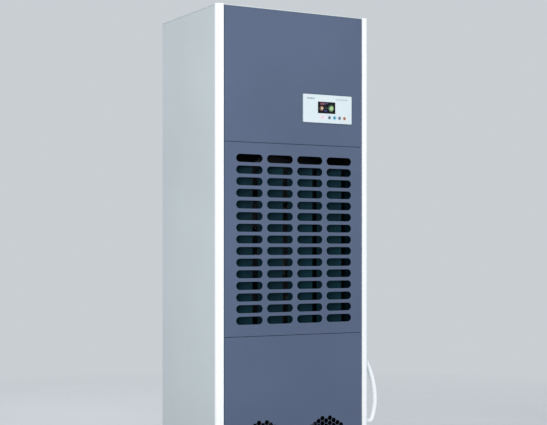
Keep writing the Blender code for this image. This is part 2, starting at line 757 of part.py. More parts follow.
def make_fan_plate():
    plate = box(
        "fan_plate",
        (-INNER_X, FAN_PLATE_Y, 0.5765 + GAP),
        (INNER_X, FAN_PLATE_Y + SHEET, 1.2085 - GAP),
        "compressor_black",
    )
    for ending, z in zip(("lower", "upper"), FAN_Z):
        collar = lathe(
            f"collar_{ending}",
            [
                (FAN_OPENING - 0.004, -0.024),
                (FAN_OPENING + SHEET, -0.024),
                (FAN_OPENING + SHEET, 0.001),
                (FAN_OPENING - 0.004, 0.001),
            ],
            (0, FAN_PLATE_Y, z),
            "Y",
            "compressor_black",
            sides=40,
        )
        join(plate, collar)
        hole = cylinder(
            f"fan_hole_{ending}",
            FAN_OPENING,
            -0.05,
            0.05,
            (0, FAN_PLATE_Y, z),
            "Y",
            "compressor_black",
            sides=40,
        )
        cut(plate, hole)


def add_blade(bm, centre, turn):
    """One twisted fan blade: a thin grid from hub to tip, steeper near the hub."""
    spans, chords = 4, 3
    front, back = [], []
    for i in range(spans + 1):
        share = i / spans
        radius = FAN_HUB - 0.003 + (FAN_RADIUS - FAN_HUB + 0.003) * share
        sweep = math.radians(40 + 8 * share) / 2
        rise = 0.017 - 0.005 * share
        for j in range(chords + 1):
            across = -1 + 2 * j / chords
            angle = turn + across * sweep + 0.12 * share
            height = across * rise - 0.003 * (1 - across * across)
            x, z = radius * math.cos(angle), radius * math.sin(angle)
            front.append(bm.verts.new((centre[0] + x, centre[1] + height - 0.0008, centre[2] + z)))
            back.append(bm.verts.new((centre[0] + x, centre[1] + height + 0.0008, centre[2] + z)))
    row = chords + 1
    for i in range(spans):
        for j in range(chords):
            a, b, c, d = i * row + j, i * row + j + 1, (i + 1) * row + j + 1, (i + 1) * row + j
            bm.faces.new((front[a], front[b], front[c], front[d]))
            bm.faces.new((back[d], back[c], back[b], back[a]))
    rim = [i * row for i in range(spans)] + [spans * row + j for j in range(chords)]
    rim += [i * row + chords for i in range(spans, 0, -1)] + list(range(chords, 0, -1))
    for a, b in zip(rim, rim[1:] + rim[:1]):
        bm.faces.new((front[a], back[a], back[b], front[b]))


def make_fans():
    for ending, z in zip(("lower", "upper"), FAN_Z):
        centre = (0, FAN_PLATE_Y - 0.012, z)
        half = FAN_DEPTH / 2
        bore = SHAFT_RADIUS + 0.0004
        hub_profile = [
            (0, -half),
            (FAN_HUB - 0.006, -half),
            (FAN_HUB, -half + 0.006),
            (FAN_HUB, half),
            (FAN_HUB - 0.002, half),
            (FAN_HUB - 0.002, -half + 0.008),
            (0.011, -half + 0.008),
            (0.011, half - 0.006),
            (bore, half - 0.006),
            (bore, -half + 0.003),
            (0, -half + 0.003),
        ]
        fan = lathe(f"fan_{ending}", hub_profile, centre, "Y", "fan_black", sides=20, origin=centre)
        for k in range(FAN_BLADES):
            bm = bmesh.new()
            add_blade(bm, centre, 2 * math.pi * k / FAN_BLADES)
            join(fan, finish(f"blade_{ending}_{k}", bm, "fan_black"))

        back = centre[1] + half
        motor_profile = [
            (0, -half + 0.004),
            (SHAFT_RADIUS, -half + 0.004),
            (SHAFT_RADIUS, half + 0.004),
            (MOTOR_RADIUS - 0.006, half + 0.004),
            (MOTOR_RADIUS, half + 0.010),
            (MOTOR_RADIUS, half + 0.004 + MOTOR_LENGTH - 0.006),
            (MOTOR_RADIUS - 0.006, half + 0.004 + MOTOR_LENGTH),
            (0, half + 0.004 + MOTOR_LENGTH),
        ]
        lathe(f"motor_{ending}", motor_profile, centre, "Y", "compressor_black", sides=20)

        strap_y = back + 0.004 + MOTOR_LENGTH + GAP
        foot_y = FAN_PLATE_Y + SHEET + GAP
        reach, bar = 0.152, 0.0025
        outline = [
            (-reach - 0.018, foot_y),
            (-reach, foot_y),
            (-reach, strap_y),
            (reach, strap_y),
            (reach, foot_y),
            (reach + 0.018, foot_y),
            (reach + 0.018, foot_y + bar),
            (reach + bar, foot_y + bar),
            (reach + bar, strap_y + bar),
            (-reach - bar, strap_y + bar),
            (-reach - bar, foot_y + bar),
            (-reach - 0.018, foot_y + bar),
        ]
        prism(f"motor_bracket_{ending}", outline, "Z", z - 0.015, z + 0.015, "compressor_black")


def make_filter():
    """The washable filter: a plastic frame with two ribs, a pull tab, and a thin mesh between."""
    low_y, high_y = BACK + 0.0022, BACK + RAIL_PROUD - 0.0026
    frame = box(
        "air_filter",
        (-FILTER_HALF_WIDTH + 0.0006, low_y, FILTER_BOTTOM),
        (FILTER_HALF_WIDTH - 0.0006, high_y, FILTER_TOP),
        "filter_mesh",
    )
    bm = bmesh.new()
    border, rib = 0.016, 0.008
    bays = 3
    inner_w = 2 * FILTER_HALF_WIDTH - 2 * border
    bay_w = (inner_w - (bays - 1) * rib) / bays
    for k in range(bays):
        x = -inner_w / 2 + k * (bay_w + rib)
        for low, high in ((low_y - 0.01, low_y + 0.0042), (low_y + 0.0052, high_y + 0.01)):
            add_box(bm, (x, low, FILTER_BOTTOM + border), (x + bay_w, high, FILTER_TOP - border))
    cut(frame, finish("filter_bays", bm, "filter_mesh"))
    tab = box(
        "filter_tab",
        (-0.030, low_y + 0.002, FILTER_TOP - 0.002),
        (0.030, low_y + 0.005, FILTER_TOP + 0.014),
        "filter_mesh",
    )
    join(frame, tab)


# ---------------------------------------------------------------- refrigeration circuit
DISCHARGE_X, DISCHARGE_Y = 0.205, -0.010
SUCTION_X, SUCTION_Y = -0.264, -0.020
DRAIN_X, DRAIN_Y = 0.150, 0.150
COMPRESSOR_X, COMPRESSOR_Y = 0.020, -0.010
ACCUMULATOR_X, ACCUMULATOR_Y = -0.100, 0.030
COIL_BENDS = 6
BEND_PITCH = (COIL_TOP - COIL_BOTTOM) / COIL_BENDS
COIL_PORT_Z = COIL_BOTTOM + 4 * BEND_PITCH
COIL_LOW_PORT_Z = COIL_BOTTOM + BEND_PITCH
COIL_HIGH_PORT_Z = COIL_BOTTOM + 5 * BEND_PITCH
SPIGOT_X, SPIGOT_Z = 0.170, 0.140
GLAND_X, GLAND_Z = -0.200, 0.140


def make_coil(name, front, bend_radius):
    """A finned coil: fin pack, end plates and the return bends of its copper tubes."""
    depth = COIL_DEPTH
    coil = box(
        name,
        (-COIL_HALF_WIDTH, front, COIL_BOTTOM + 0.004),
        (COIL_HALF_WIDTH, front + depth, COIL_TOP - 0.004),
        "coil_aluminium",
    )
    for side in (-1, 1):
        x = side * COIL_HALF_WIDTH
        plate = box(
            f"{name}_end_{side}",
            (x - 0.001, front - 0.002, COIL_BOTTOM),
            (x + 0.001, front + depth + 0.002, COIL_TOP),
            "zinc_steel",
        )
        join(coil, plate)
        for k in range(COIL_BENDS):
            z = COIL_BOTTOM + (k + 0.5) * BEND_PITCH
            bend = return_bend(f"{name}_bend_{side}_{k}", (x, front + depth / 2, z), side, bend_radius)
            join(coil, bend)


def return_bend(name, centre, side, radius):
    """Half a ring of copper tube joining two neighbouring passes of a coil."""
    steps, sides, pipe = 6, 6, 0.005
    bm = bmesh.new()
    stations = [(-0.004, -1), *((None, k) for k in range(steps + 1)), (-0.004, 1)]
    rings = []
    for shift, k in stations:
        if shift is not None:
            angle, out = (math.pi / 2) * k, shift
        else:
            angle, out = -math.pi / 2 + math.pi * k / steps, 0.0
        middle = Vector((math.cos(angle) * radius * side + out * side, 0, math.sin(angle) * radius))
        radial = Vector((math.cos(angle) * side, 0, math.sin(angle)))
        ring = []
        for j in range(sides):
            turn = 2 * math.pi * j / sides
            offset = radial * math.cos(turn) * pipe + Vector((0, 1, 0)) * math.sin(turn) * pipe
            ring.append(bm.verts.new(Vector(centre) + middle + offset))
        rings.append(ring)
    for first, second in zip(rings, rings[1:]):
        for j in range(sides):
            bm.faces.new((first[j], first[(j + 1) % sides], second[(j + 1) % sides], second[j]))
    bm.faces.new(rings[0])
    bm.faces.new(rings[-1])
    return finish(name, bm, "copper", smooth=True)


def make_compressor():
    centre = (COMPRESSOR_X, COMPRESSOR_Y, 0)
    foot = BASE + FLOOR_PLATE + 0.012
    profile = [
        (0, foot + 0.004),
        (0.060, foot + 0.004),
        (0.075, foot + 0.020),
        (0.075, foot + 0.235),
        (0.066, foot + 0.258),
        (0.040, foot + 0.272),
        (0.014, foot + 0.276),
        (0.014, foot + 0.290),
        (0, foot + 0.290),
    ]
    body = lathe("compressor", profile, centre, "Z", "compressor_black", sides=28)
    feet = []
    for k in range(3):
        turn = 90 + 120 * k
        feet += arc((0, 0), 0.098, turn - 8, turn + 8, 2)
    outline = [(COMPRESSOR_X + x, COMPRESSOR_Y + y) for x, y in feet]
    plate = prism("compressor_feet", outline, "Z", foot, foot + 0.0045, "compressor_black")
    join(body, plate)
    for k in range(3):
        turn = math.radians(90 + 120 * k)
        x, y = COMPRESSOR_X + 0.088 * math.cos(turn), COMPRESSOR_Y + 0.088 * math.sin(turn)
        bottom, top = BASE + FLOOR_PLATE + GAP, foot + 0.010
        grommet = cylinder(
            f"grommet_{k}", 0.010, bottom, top, (x, y, 0), "Z", "black_plastic", sides=12
        )
        join(body, grommet)


def make_accumulator():
    """The suction accumulator, with the short bend that feeds the compressor's side."""
    profile = [
        (0, 0.150),
        (0.018, 0.152),
        (0.030, 0.166),
        (0.030, 0.318),
        (0.018, 0.334),
        (0.008, 0.336),
        (0.008, 0.350),
        (0, 0.350),
    ]
    place = (ACCUMULATOR_X, ACCUMULATOR_Y, 0)
    body = lathe("accumulator", profile, place, "Z", "compressor_black", sides=20)
    strap = box(
        "accumulator_strap",
        (ACCUMULATOR_X + 0.020, ACCUMULATOR_Y - 0.014, 0.235),
        (COMPRESSOR_X - 0.0708, ACCUMULATOR_Y + 0.004, 0.262),
        "compressor_black",
    )
    join(body, strap)


def make_pipes():
    head = BASE + FLOOR_PLATE + 0.012 + 0.290 + GAP
    tube(
        "discharge_pipe",
        [
            (COMPRESSOR_X, COMPRESSOR_Y, head),
            (COMPRESSOR_X, COMPRESSOR_Y, head + 0.040),
            (COMPRESSOR_X + 0.030, COMPRESSOR_Y - 0.030, head + 0.085),
            (COMPRESSOR_X + 0.120, COMPRESSOR_Y - 0.020, head + 0.090),
            (DISCHARGE_X, DISCHARGE_Y, head + 0.130),
            (DISCHARGE_X, DISCHARGE_Y, 0.575),
            (DISCHARGE_X + 0.006, DISCHARGE_Y, 0.680),
            (0.262, 0.010, 0.780),
            (0.270, 0.040, 0.870),
            (0.271, 0.066, 0.945),
            (0.264, CONDENSER_Y + COIL_DEPTH / 2, 0.990),
            (0.252, CONDENSER_Y + COIL_DEPTH / 2, COIL_PORT_Z),
            (COIL_HALF_WIDTH + 0.0018, CONDENSER_Y + COIL_DEPTH / 2, COIL_PORT_Z),
        ],
        0.0048,
        "copper",
    )
    tube(
        "suction_pipe",
        [
            (ACCUMULATOR_X, ACCUMULATOR_Y, 0.350 + GAP),
            (ACCUMULATOR_X, ACCUMULATOR_Y, 0.390),
            (ACCUMULATOR_X - 0.030, ACCUMULATOR_Y + 0.010, 0.440),
            (SUCTION_X + 0.020, SUCTION_Y + 0.004, 0.500),
            (SUCTION_X, SUCTION_Y, 0.560),
            (SUCTION_X, SUCTION_Y, 0.720),
            (SUCTION_X, SUCTION_Y, 0.900),
            (-0.272, 0.030, 0.950),
            (-0.272, 0.090, 0.964),
            (-0.264, EVAPORATOR_Y + COIL_DEPTH / 2, 0.990),
            (-0.252, EVAPORATOR_Y + COIL_DEPTH / 2, COIL_PORT_Z),
            (-COIL_HALF_WIDTH - 0.0018, EVAPORATOR_Y + COIL_DEPTH / 2, COIL_PORT_Z),
        ],
        0.0065,
        "copper",
        step=0.028,
    )
    drier_x, drier_y = 0.246, 0.026
    body = lathe(
        "liquid_line",
        [(0, 0.760), (0.003, 0.760), (0.012, 0.772), (0.012, 0.846), (0.003, 0.858), (0, 0.858)],
        (-drier_x, drier_y, 0),
        "Z",
        "copper",
        sides=14,
    )
    condenser_side = tube(
        "drier_inlet",
        [
            (-drier_x, drier_y, 0.762),
            (-drier_x, drier_y, 0.740),
            (-0.254, 0.046, 0.722),
            (-0.254, CONDENSER_Y + COIL_DEPTH / 2, COIL_LOW_PORT_Z),
            (-COIL_HALF_WIDTH - 0.0018, CONDENSER_Y + COIL_DEPTH / 2, COIL_LOW_PORT_Z),
        ],
        0.0028,
        "copper",
        sides=6,
    )
    evaporator_side = tube(
        "drier_outlet",
        [
            (-drier_x, drier_y, 0.856),
            (-drier_x, drier_y, 0.900),
            (-drier_x, 0.036, 1.000),
            (-0.262, 0.050, 1.060),
            (-0.267, 0.100, 1.085),
            (-0.264, EVAPORATOR_Y + COIL_DEPTH / 2, 1.092),
            (-0.250, EVAPORATOR_Y + COIL_DEPTH / 2, COIL_HIGH_PORT_Z),
            (-COIL_HALF_WIDTH - 0.0018, EVAPORATOR_Y + COIL_DEPTH / 2, COIL_HIGH_PORT_Z),
        ],
        0.0028,
        "copper",
        sides=6,
    )
    join(body, condenser_side, evaporator_side)


def make_drain():
    """Condensate pan under both coils, the hose below it, and the spigot through the back."""
    low = (-0.250, 0.040, 0.5765 + GAP)
    high = (0.250, 0.170, 0.612)
    pan = box("drain_pan", low, high, "pan_plastic")
    hollow = box(
        "pan_hollow",
        (low[0] + 0.002, low[1] + 0.002, low[2] + 0.003),
        (high[0] - 0.002, high[1] - 0.002, high[2] + 0.01),
        "pan_plastic",
    )
    cut(pan, hollow)
    outlet = lathe(
        "pan_outlet",
        [(0.005, -0.026), (0.0075, -0.026), (0.0075, 0.006), (0.005, 0.006)],
        (DRAIN_X, DRAIN_Y, low[2]),
        "Z",
        "pan_plastic",
        sides=16,
    )
    place = (DRAIN_X, DRAIN_Y, low[2])
    bore = cylinder("pan_bore", 0.005, -0.03, 0.03, place, "Z", "pan_plastic", sides=16)
    join(pan, outlet)
    cut(pan, bore)

    tube(
        "drain_tube",
        [
            (DRAIN_X, DRAIN_Y, low[2] - 0.026 - GAP),
            (DRAIN_X, DRAIN_Y, 0.510),
            (DRAIN_X + 0.004, DRAIN_Y + 0.006, 0.430),
            (DRAIN_X + 0.014, DRAIN_Y + 0.010, 0.330),
            (SPIGOT_X, DRAIN_Y + 0.002, 0.230),
            (SPIGOT_X, DRAIN_Y - 0.012, 0.165),
            (SPIGOT_X, DRAIN_Y, SPIGOT_Z + 0.002),
            (SPIGOT_X, BACK - 0.032, SPIGOT_Z),
        ],
        0.0085,
        "clear_hose",
        step=0.026,
    )
    spigot = lathe(
        "drain_spigot",
        [
            (0.0065, -0.030),
            (0.0085, -0.030),
            (0.0085, -0.0045),
            (0.020, -0.0045),
            (0.020, -0.0018),
            (0.0118, -0.0018),
            (0.0118, GAP),
            (0.020, GAP),
            (0.020, 0.004),
            (0.010, 0.004),
            (0.010, SPIGOT_PROUD - 0.004),
            (0.0085, SPIGOT_PROUD),
            (0.0065, SPIGOT_PROUD),
        ],
        (SPIGOT_X, BACK, SPIGOT_Z),
        "Y",
        "black_plastic",
        sides=24,
    )
    return spigot


def make_gland():
    """The mains cable gland: a flanged nut each side of the back sheet."""
    lathe(
        "cable_gland",
        [
            (0.0045, -0.012),
            (0.0125, -0.012),
            (0.0125, -0.0018),
            (0.0080, -0.0018),
            (0.0080, GAP),
            (0.0140, GAP),
            (0.0140, 0.006),
            (0.0105, 0.009),
            (0.0095, 0.018),
            (0.0070, 0.020),
            (0.0045, 0.020),
        ],
        (GLAND_X, BACK, GLAND_Z),
        "Y",
        "black_plastic",
        sides=16,
    )


# ---------------------------------------------------------------- electrical bay
def make_electrical_bay():
    floor = 1.2105 + GAP
    low, high = (-0.120, 0.010, floor), (0.200, 0.130, floor + 0.160)
    tray = box("electrical_box", low, high, "zinc_steel")
    hollow = box(
        "box_hollow",
        (low[0] + SHEET, low[1] - 0.01, low[2] + SHEET),
        (high[0] - SHEET, high[1] - SHEET, high[2] - SHEET),
        "zinc_steel",
    )
    cut(tray, hollow)
    bed = floor + SHEET + GAP
    contactor = box("contactor", (-0.090, 0.050, bed), (-0.040, 0.120, bed + 0.075), "black_plastic")
    step = box(
        "contactor_step",
        (-0.088, 0.030, bed + 0.015),
        (-0.042, 0.055, bed + 0.060),
        "black_plastic",
    )
    join(contactor, step)
    cylinder("run_capacitor", 0.024, bed, bed + 0.095, (0.020, 0.075, 0), "Z", "coil_aluminium", sides=20)


# ---------------------------------------------------------------- casters
def make_casters():
    for ending, x, y in caster_places():
        lead = -1 if ending.startswith("f") else 1
        swivel = (x, y, BASE)
        axle = (x, y + lead * CASTER_TRAIL, WHEEL_RADIUS)
        fork = lathe(
            f"caster_fork_{ending}",
            [
                (0, -0.0095),
                (0.018, -0.0095),
                (0.018, -0.0004),
                (CASTER_STEM, -0.0004),
                (CASTER_STEM, FLOOR_PLATE + 0.0004),
                (0.009, FLOOR_PLATE + 0.0004),
                (0.009, 0.009),
                (0, 0.009),
            ],
            swivel,
            "Z",
            "zinc_steel",
            sides=16,
            origin=swivel,
        )
        inner, plate = WHEEL_WIDTH / 2 + 0.0015, 0.0025
        ear = BRAKE_REACH + 0.004 if lead < 0 else BRAKE_REACH - 0.008
        outline = [
            (y - lead * 0.015, BASE - 0.008),
            (y + lead * 0.018, BASE - 0.008),
            (y + lead * ear, BRAKE_Z + 0.004),
            (y + lead * ear, BRAKE_Z - 0.004),
            (axle[1] + lead * 0.009, axle[2] + 0.004),
            (axle[1] + lead * 0.006, axle[2] - 0.007),
            (axle[1] - lead * 0.006, axle[2] - 0.007),
            (axle[1] - lead * 0.010, axle[2] + 0.004),
        ]
        for side in (-1, 1):
            low, high = sorted((x + side * inner, x + side * (inner + plate)))
            join(fork, prism(f"cheek_{ending}_{side}", outline, "X", low, high, "zinc_steel"))
        bridge = box(
            f"bridge_{ending}",
            (x - inner - 0.001, y - 0.015, BASE - 0.0110),
            (x + inner + 0.001, y + 0.015, BASE - 0.0085),
            "zinc_steel",
        )
        reach = inner + 0.005
        pin = cylinder(f"axle_{ending}", 0.0038, -reach, reach, axle, "X", "zinc_steel", sides=12)
        join(fork, bridge, pin)

        # Each ring is drawn round the stated radius, so the wheel stands on the flat of one facet.
        half, sides = WHEEL_WIDTH / 2, 28
        tread = WHEEL_RADIUS / math.cos(math.pi / sides)
        wheel_profile = [
            (0.0044, -half),
            (0.0190, -half),
            (tread - 0.003, -half + 0.001),
            (tread, -half + 0.005),
            (tread, half - 0.005),
            (tread - 0.003, half - 0.001),
            (0.0190, half),
            (0.0044, half),
        ]
        lathe(f"caster_wheel_{ending}", wheel_profile, axle, "X", "tyre_rubber", sides, axle, phase=0.5)

        if lead < 0:
            make_brake(ending, x, y, lead, fork, inner)


BRAKE_REACH, BRAKE_Z = 0.027, 0.056


def make_brake(ending, x, y, lead, fork, inner):
    """A foot brake hung in the fork; pressed down, its pad meets the tread."""
    pivot = (x, y + lead * BRAKE_REACH, BRAKE_Z)
    reach = inner + 0.003
    pin = cylinder(f"brake_pin_{ending}", 0.0016, -reach, reach, pivot, "X", "zinc_steel", sides=10)
    join(fork, pin)
    side_view = (
        (-0.0038, -0.0030),
        (-0.0038, 0.0032),
        (0.0040, 0.0048),
        (0.0230, 0.0030),
        (0.0300, -0.0004),
        (0.0296, -0.0026),
        (0.0220, 0.0002),
        (0.0120, 0.0010),
        (0.0090, -0.0090),
        (0.0040, -0.0060),
    )
    outline = [(pivot[1] + lead * reach, pivot[2] + rise) for reach, rise in side_view]
    half = inner - 0.0012
    pedal = prism(f"caster_brake_{ending}", outline, "X", x - half, x + half, "brake_red", origin=pivot)
    bore = cylinder(f"brake_bore_{ending}", 0.0019, -inner, inner, pivot, "X", "brake_red", sides=10)
    cut(pedal, bore)


make_base_tray()
make_front_post("post_front_left", -1)
make_front_post("post_front_right", 1)
make_side_panels()
make_rear_panel()
make_top_cover()
make_upper_panel()
make_outlet_grille()
make_lower_panel()
make_controller()
make_service_door()
make_handle()
make_decks()
make_vane_frame()
make_fan_plate()
make_fans()
make_filter()
make_coil("condenser", CONDENSER_Y, 0.018)
make_coil("evaporator", EVAPORATOR_Y, 0.018)
make_compressor()
make_accumulator()
make_pipes()
make_drain()
make_gland()
make_electrical_bay()
make_casters()
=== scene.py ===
"""Looks of the floor-standing dehumidifier: detailed pieces, materials, light and camera.

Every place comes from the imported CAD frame. The front faces -Y and +Z is up. Pieces are built in the
row frame, in metres, and ride on the CAD body that they belong to.
"""

import json
import math

import bmesh
import bpy
from mathutils import Matrix, Vector


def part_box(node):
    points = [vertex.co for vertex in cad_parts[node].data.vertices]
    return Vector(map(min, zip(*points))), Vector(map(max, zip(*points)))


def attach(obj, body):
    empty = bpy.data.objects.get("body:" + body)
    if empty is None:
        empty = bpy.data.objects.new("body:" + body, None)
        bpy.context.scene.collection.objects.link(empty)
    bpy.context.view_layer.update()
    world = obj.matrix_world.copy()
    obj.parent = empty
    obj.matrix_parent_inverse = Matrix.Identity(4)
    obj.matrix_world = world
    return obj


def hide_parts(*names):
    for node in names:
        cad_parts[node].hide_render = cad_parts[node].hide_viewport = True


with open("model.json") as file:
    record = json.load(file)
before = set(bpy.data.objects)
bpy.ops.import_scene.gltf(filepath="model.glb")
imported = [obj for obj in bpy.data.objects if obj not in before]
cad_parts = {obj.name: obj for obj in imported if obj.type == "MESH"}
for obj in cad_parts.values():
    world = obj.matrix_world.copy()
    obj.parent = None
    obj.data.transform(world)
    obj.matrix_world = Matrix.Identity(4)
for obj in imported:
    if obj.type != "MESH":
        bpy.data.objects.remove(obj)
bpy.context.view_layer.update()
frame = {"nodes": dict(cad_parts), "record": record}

# ---------------------------------------------------------------- places read from the frame
NODES = frame["nodes"]
SHEET = 0.0015


def low(node):
    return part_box(node)[0]


def high(node):
    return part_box(node)[1]


def middle(node):
    return (low(node) + high(node)) / 2


CASING_LOW = low("base_tray")
CASING_HIGH = Vector((high("base_tray").x, high("base_tray").y, high("top_cover").z))
CASING_X = (CASING_LOW.x + CASING_HIGH.x) / 2
PANEL_FACE = low("outlet_grille").y
BEZEL_FACE = low("controller_bezel").y
REAR_FACE = CASING_HIGH.y

# The slots are laid out as in the CAD. The vent holes are finer than the CAD's, round the same centres.
SLOT_COLUMNS, SLOT_ROWS = 4, 15
SLOT_LENGTH, SLOT_HEIGHT = 0.0975, 0.0262
SLOT_PITCH_X, SLOT_PITCH_Z = 0.114, 0.0376
VENT_OFFSET, VENT_HEIGHT, VENT_RADIUS = 0.121, 0.2195, 0.082
PERFORATION_PITCH, PERFORATION_RADIUS = 0.0170, 0.0090


# ---------------------------------------------------------------- material helpers
WHITE = (1.0, 1.0, 1.0, 1.0)


def srgb(red, green, blue):
    """A display colour, 0 to 255, as the linear colour that a shader takes."""
    linear = []
    for value in (red, green, blue):
        share = value / 255
        linear.append(share / 12.92 if share <= 0.04045 else ((share + 0.055) / 1.055) ** 2.4)
    return (*linear, 1.0)


class Shader:
    """A small wrapper round a material's nodes, so that each recipe below reads as a list of layers."""

    def __init__(self, name, roughness, metallic=0.0):
        self.material = bpy.data.materials.new(name)
        self.material.use_nodes = True
        self.tree = self.material.node_tree
        self.principled = self.tree.nodes["Principled BSDF"]
        self.principled.inputs["Roughness"].default_value = roughness
        self.principled.inputs["Metallic"].default_value = metallic
        self.coordinates = self.tree.nodes.new("ShaderNodeTexCoord").outputs["Object"]

    def value(self, socket, number):
        """Sets one of the shader's own sockets to a number or colour that is the same all over."""
        self.principled.inputs[socket].default_value = number
        return self

    def link(self, output, socket):
        self.tree.links.new(output, self.principled.inputs[socket])

    def stretched(self, scale):
        mapping = self.tree.nodes.new("ShaderNodeMapping")
        mapping.inputs["Scale"].default_value = scale
        self.tree.links.new(self.coordinates, mapping.inputs["Vector"])
        return mapping.outputs["Vector"]

    def noise(self, scale, detail, stretch=None):
        node = self.tree.nodes.new("ShaderNodeTexNoise")
        node.inputs["Scale"].default_value = scale
        node.inputs["Detail"].default_value = detail
        source = self.stretched(stretch) if stretch else self.coordinates
        self.tree.links.new(source, node.inputs["Vector"])
        return node.outputs["Fac"]

    def cells(self, scale, feature="F1"):
        node = self.tree.nodes.new("ShaderNodeTexVoronoi")
        node.feature = feature
        node.inputs["Scale"].default_value = scale
        self.tree.links.new(self.coordinates, node.inputs["Vector"])
        return node

    def bands(self, scale, axis):
        node = self.tree.nodes.new("ShaderNodeTexWave")
        node.bands_direction = axis
        node.inputs["Scale"].default_value = scale
        self.tree.links.new(self.coordinates, node.inputs["Vector"])
        return node.outputs["Fac"]

    def height(self):
        node = self.tree.nodes.new("ShaderNodeSeparateXYZ")
        self.tree.links.new(self.coordinates, node.inputs["Vector"])
        return node.outputs["Z"]

    def ramp(self, source, start, end, start_colour, end_colour):
        """Blends between two colours as source goes from start to end."""
        spread = self.tree.nodes.new("ShaderNodeMapRange")
        spread.inputs["From Min"].default_value = start
        spread.inputs["From Max"].default_value = end
        self.tree.links.new(source, spread.inputs["Value"])
        mix = self.tree.nodes.new("ShaderNodeMix")
        mix.data_type = "RGBA"
        self.tree.links.new(spread.outputs["Result"], mix.inputs["Factor"])
        mix.inputs["A"].default_value = start_colour
        mix.inputs["B"].default_value = end_colour
        return mix.outputs["Result"]

    def mottle(self, scale, detail, dark, light, stretch=None):
        """Soft patches between two colours."""
        return self.ramp(self.noise(scale, detail, stretch), 0.3, 0.7, dark, light)

    def multiply(self, first, second):
        mix = self.tree.nodes.new("ShaderNodeMix")
        mix.data_type = "RGBA"
        mix.blend_type = "MULTIPLY"
        mix.inputs["Factor"].default_value = 1.0
        self.tree.links.new(first, mix.inputs["A"])
        self.tree.links.new(second, mix.inputs["B"])
        return mix.outputs["Result"]

    def spread(self, source, low_value, high_value, start=0.3, end=0.7):
        node = self.tree.nodes.new("ShaderNodeMapRange")
        node.inputs["From Min"].default_value = start
        node.inputs["From Max"].default_value = end
        node.inputs["To Min"].default_value = low_value
        node.inputs["To Max"].default_value = high_value
        self.tree.links.new(source, node.inputs["Value"])
        return node.outputs["Result"]

    def bump(self, source, distance, strength, under=None):
        node = self.tree.nodes.new("ShaderNodeBump")
        node.inputs["Distance"].default_value = distance
        node.inputs["Strength"].default_value = strength
        self.tree.links.new(source, node.inputs["Height"])
        if under is not None:
            self.tree.links.new(under, node.inputs["Normal"])
        self.link(node.outputs["Normal"], "Normal")
        return node.outputs["Normal"]


def scaled(colour, factor):
    return tuple(min(1.0, channel * factor) for channel in colour[:3]) + (1.0,)


def powder_coat(name, colour, roughness, speckle, drift, bottom_darkening, gloss=0.5):
    """Fine-texture powder coat: slow drift in tone, speckle, orange peel, and a darkening towards the
    bottom, near the floor.
    """
    shader = Shader(name, roughness)
    darker, lighter = scaled(colour, 1 - drift), scaled(colour, 1 + drift)
    tone = shader.ramp(shader.noise(2.2, 4), 0.35, 0.65, darker, lighter)
    grain = shader.ramp(shader.noise(900, 2), 0.35, 0.65, scaled(WHITE, 1 - speckle), WHITE)
    # Darker towards the bottom: below 0.42 m the colour falls, by the given share at 0.05 m and under.
    bottom_fade = shader.ramp(shader.height(), 0.05, 0.42, scaled(WHITE, 1 - bottom_darkening), WHITE)
    shader.link(shader.multiply(shader.multiply(tone, grain), bottom_fade), "Base Color")
    shader.link(shader.spread(shader.noise(6, 5), roughness - 0.06, roughness + 0.08), "Roughness")
    shader.value("Specular IOR Level", gloss)
    peel = shader.bump(shader.noise(420, 3), 0.00012, 0.6)
    shader.bump(shader.noise(1500, 2), 0.00004, 0.5, under=peel)
    return shader.material


def moulded(name, colour, roughness, grain=0.00003, drift=0.04, coat=0.0):
    """Moulded plastic with a fine spark-eroded texture."""
    shader = Shader(name, roughness)
    darker, lighter = scaled(colour, 1 - drift), scaled(colour, 1 + drift)
    shader.link(shader.mottle(28, 4, darker, lighter), "Base Color")
    shader.link(shader.spread(shader.noise(60, 4), roughness - 0.05, roughness + 0.07), "Roughness")
    shader.bump(shader.noise(2200, 2), grain, 0.7)
    if coat:
        shader.value("Coat Weight", coat)
        shader.value("Coat Roughness", 0.08)
    return shader.material


def zinc_plate(name):
    """Zinc-plated sheet: crystalline spangle in tone and roughness, with faint rolling lines."""
    shader = Shader(name, 0.38, 1.0)
    cell_colour = shader.cells(95).outputs["Color"]
    grey = shader.tree.nodes.new("ShaderNodeRGBToBW")
    shader.tree.links.new(cell_colour, grey.inputs["Color"])
    tone = shader.ramp(grey.outputs["Val"], 0.2, 0.8, srgb(168, 172, 176), srgb(200, 204, 207))
    stain = shader.mottle(9, 6, (0.82, 0.82, 0.82, 1), WHITE)
    shader.link(shader.multiply(tone, stain), "Base Color")
    shader.link(shader.spread(grey.outputs["Val"], 0.30, 0.46, 0.2, 0.8), "Roughness")
    shader.bump(shader.noise(240, 3, stretch=(1, 1, 0.08)), 0.00003, 0.5)
    return shader.material


def fin_pack(name):
    """Aluminium coil fins seen edge on: fine upright lines, light at the fin edges with painted shade in
    the gaps between them, and slightly bent patches.
    """
    shader = Shader(name, 0.36, 0.9)
    fin_lines_and_gap_shade = shader.bands(150, "X")
    # The dark end of these lines is painted shade in the gaps between the fins.
    tone = shader.ramp(fin_lines_and_gap_shade, 0.1, 0.75, srgb(60, 63, 66), srgb(206, 210, 213))
    patches = shader.ramp(shader.noise(26, 5), 0.35, 0.7, (0.72, 0.73, 0.74, 1), WHITE)
    shader.link(shader.multiply(tone, patches), "Base Color")
    shader.link(shader.spread(shader.noise(50, 4), 0.28, 0.5), "Roughness")
    shader.bump(fin_lines_and_gap_shade, 0.0006, 0.8)
    return shader.material


def drawn_copper(name):
    shader = Shader(name, 0.28, 1.0)
    tarnish = shader.noise(38, 6)
    shader.link(shader.ramp(tarnish, 0.35, 0.7, srgb(214, 138, 98), srgb(150, 84, 58)), "Base Color")
    shader.link(shader.spread(tarnish, 0.2, 0.45), "Roughness")
    shader.bump(shader.noise(300, 3, stretch=(1, 1, 0.1)), 0.00003, 0.5)
    return shader.material


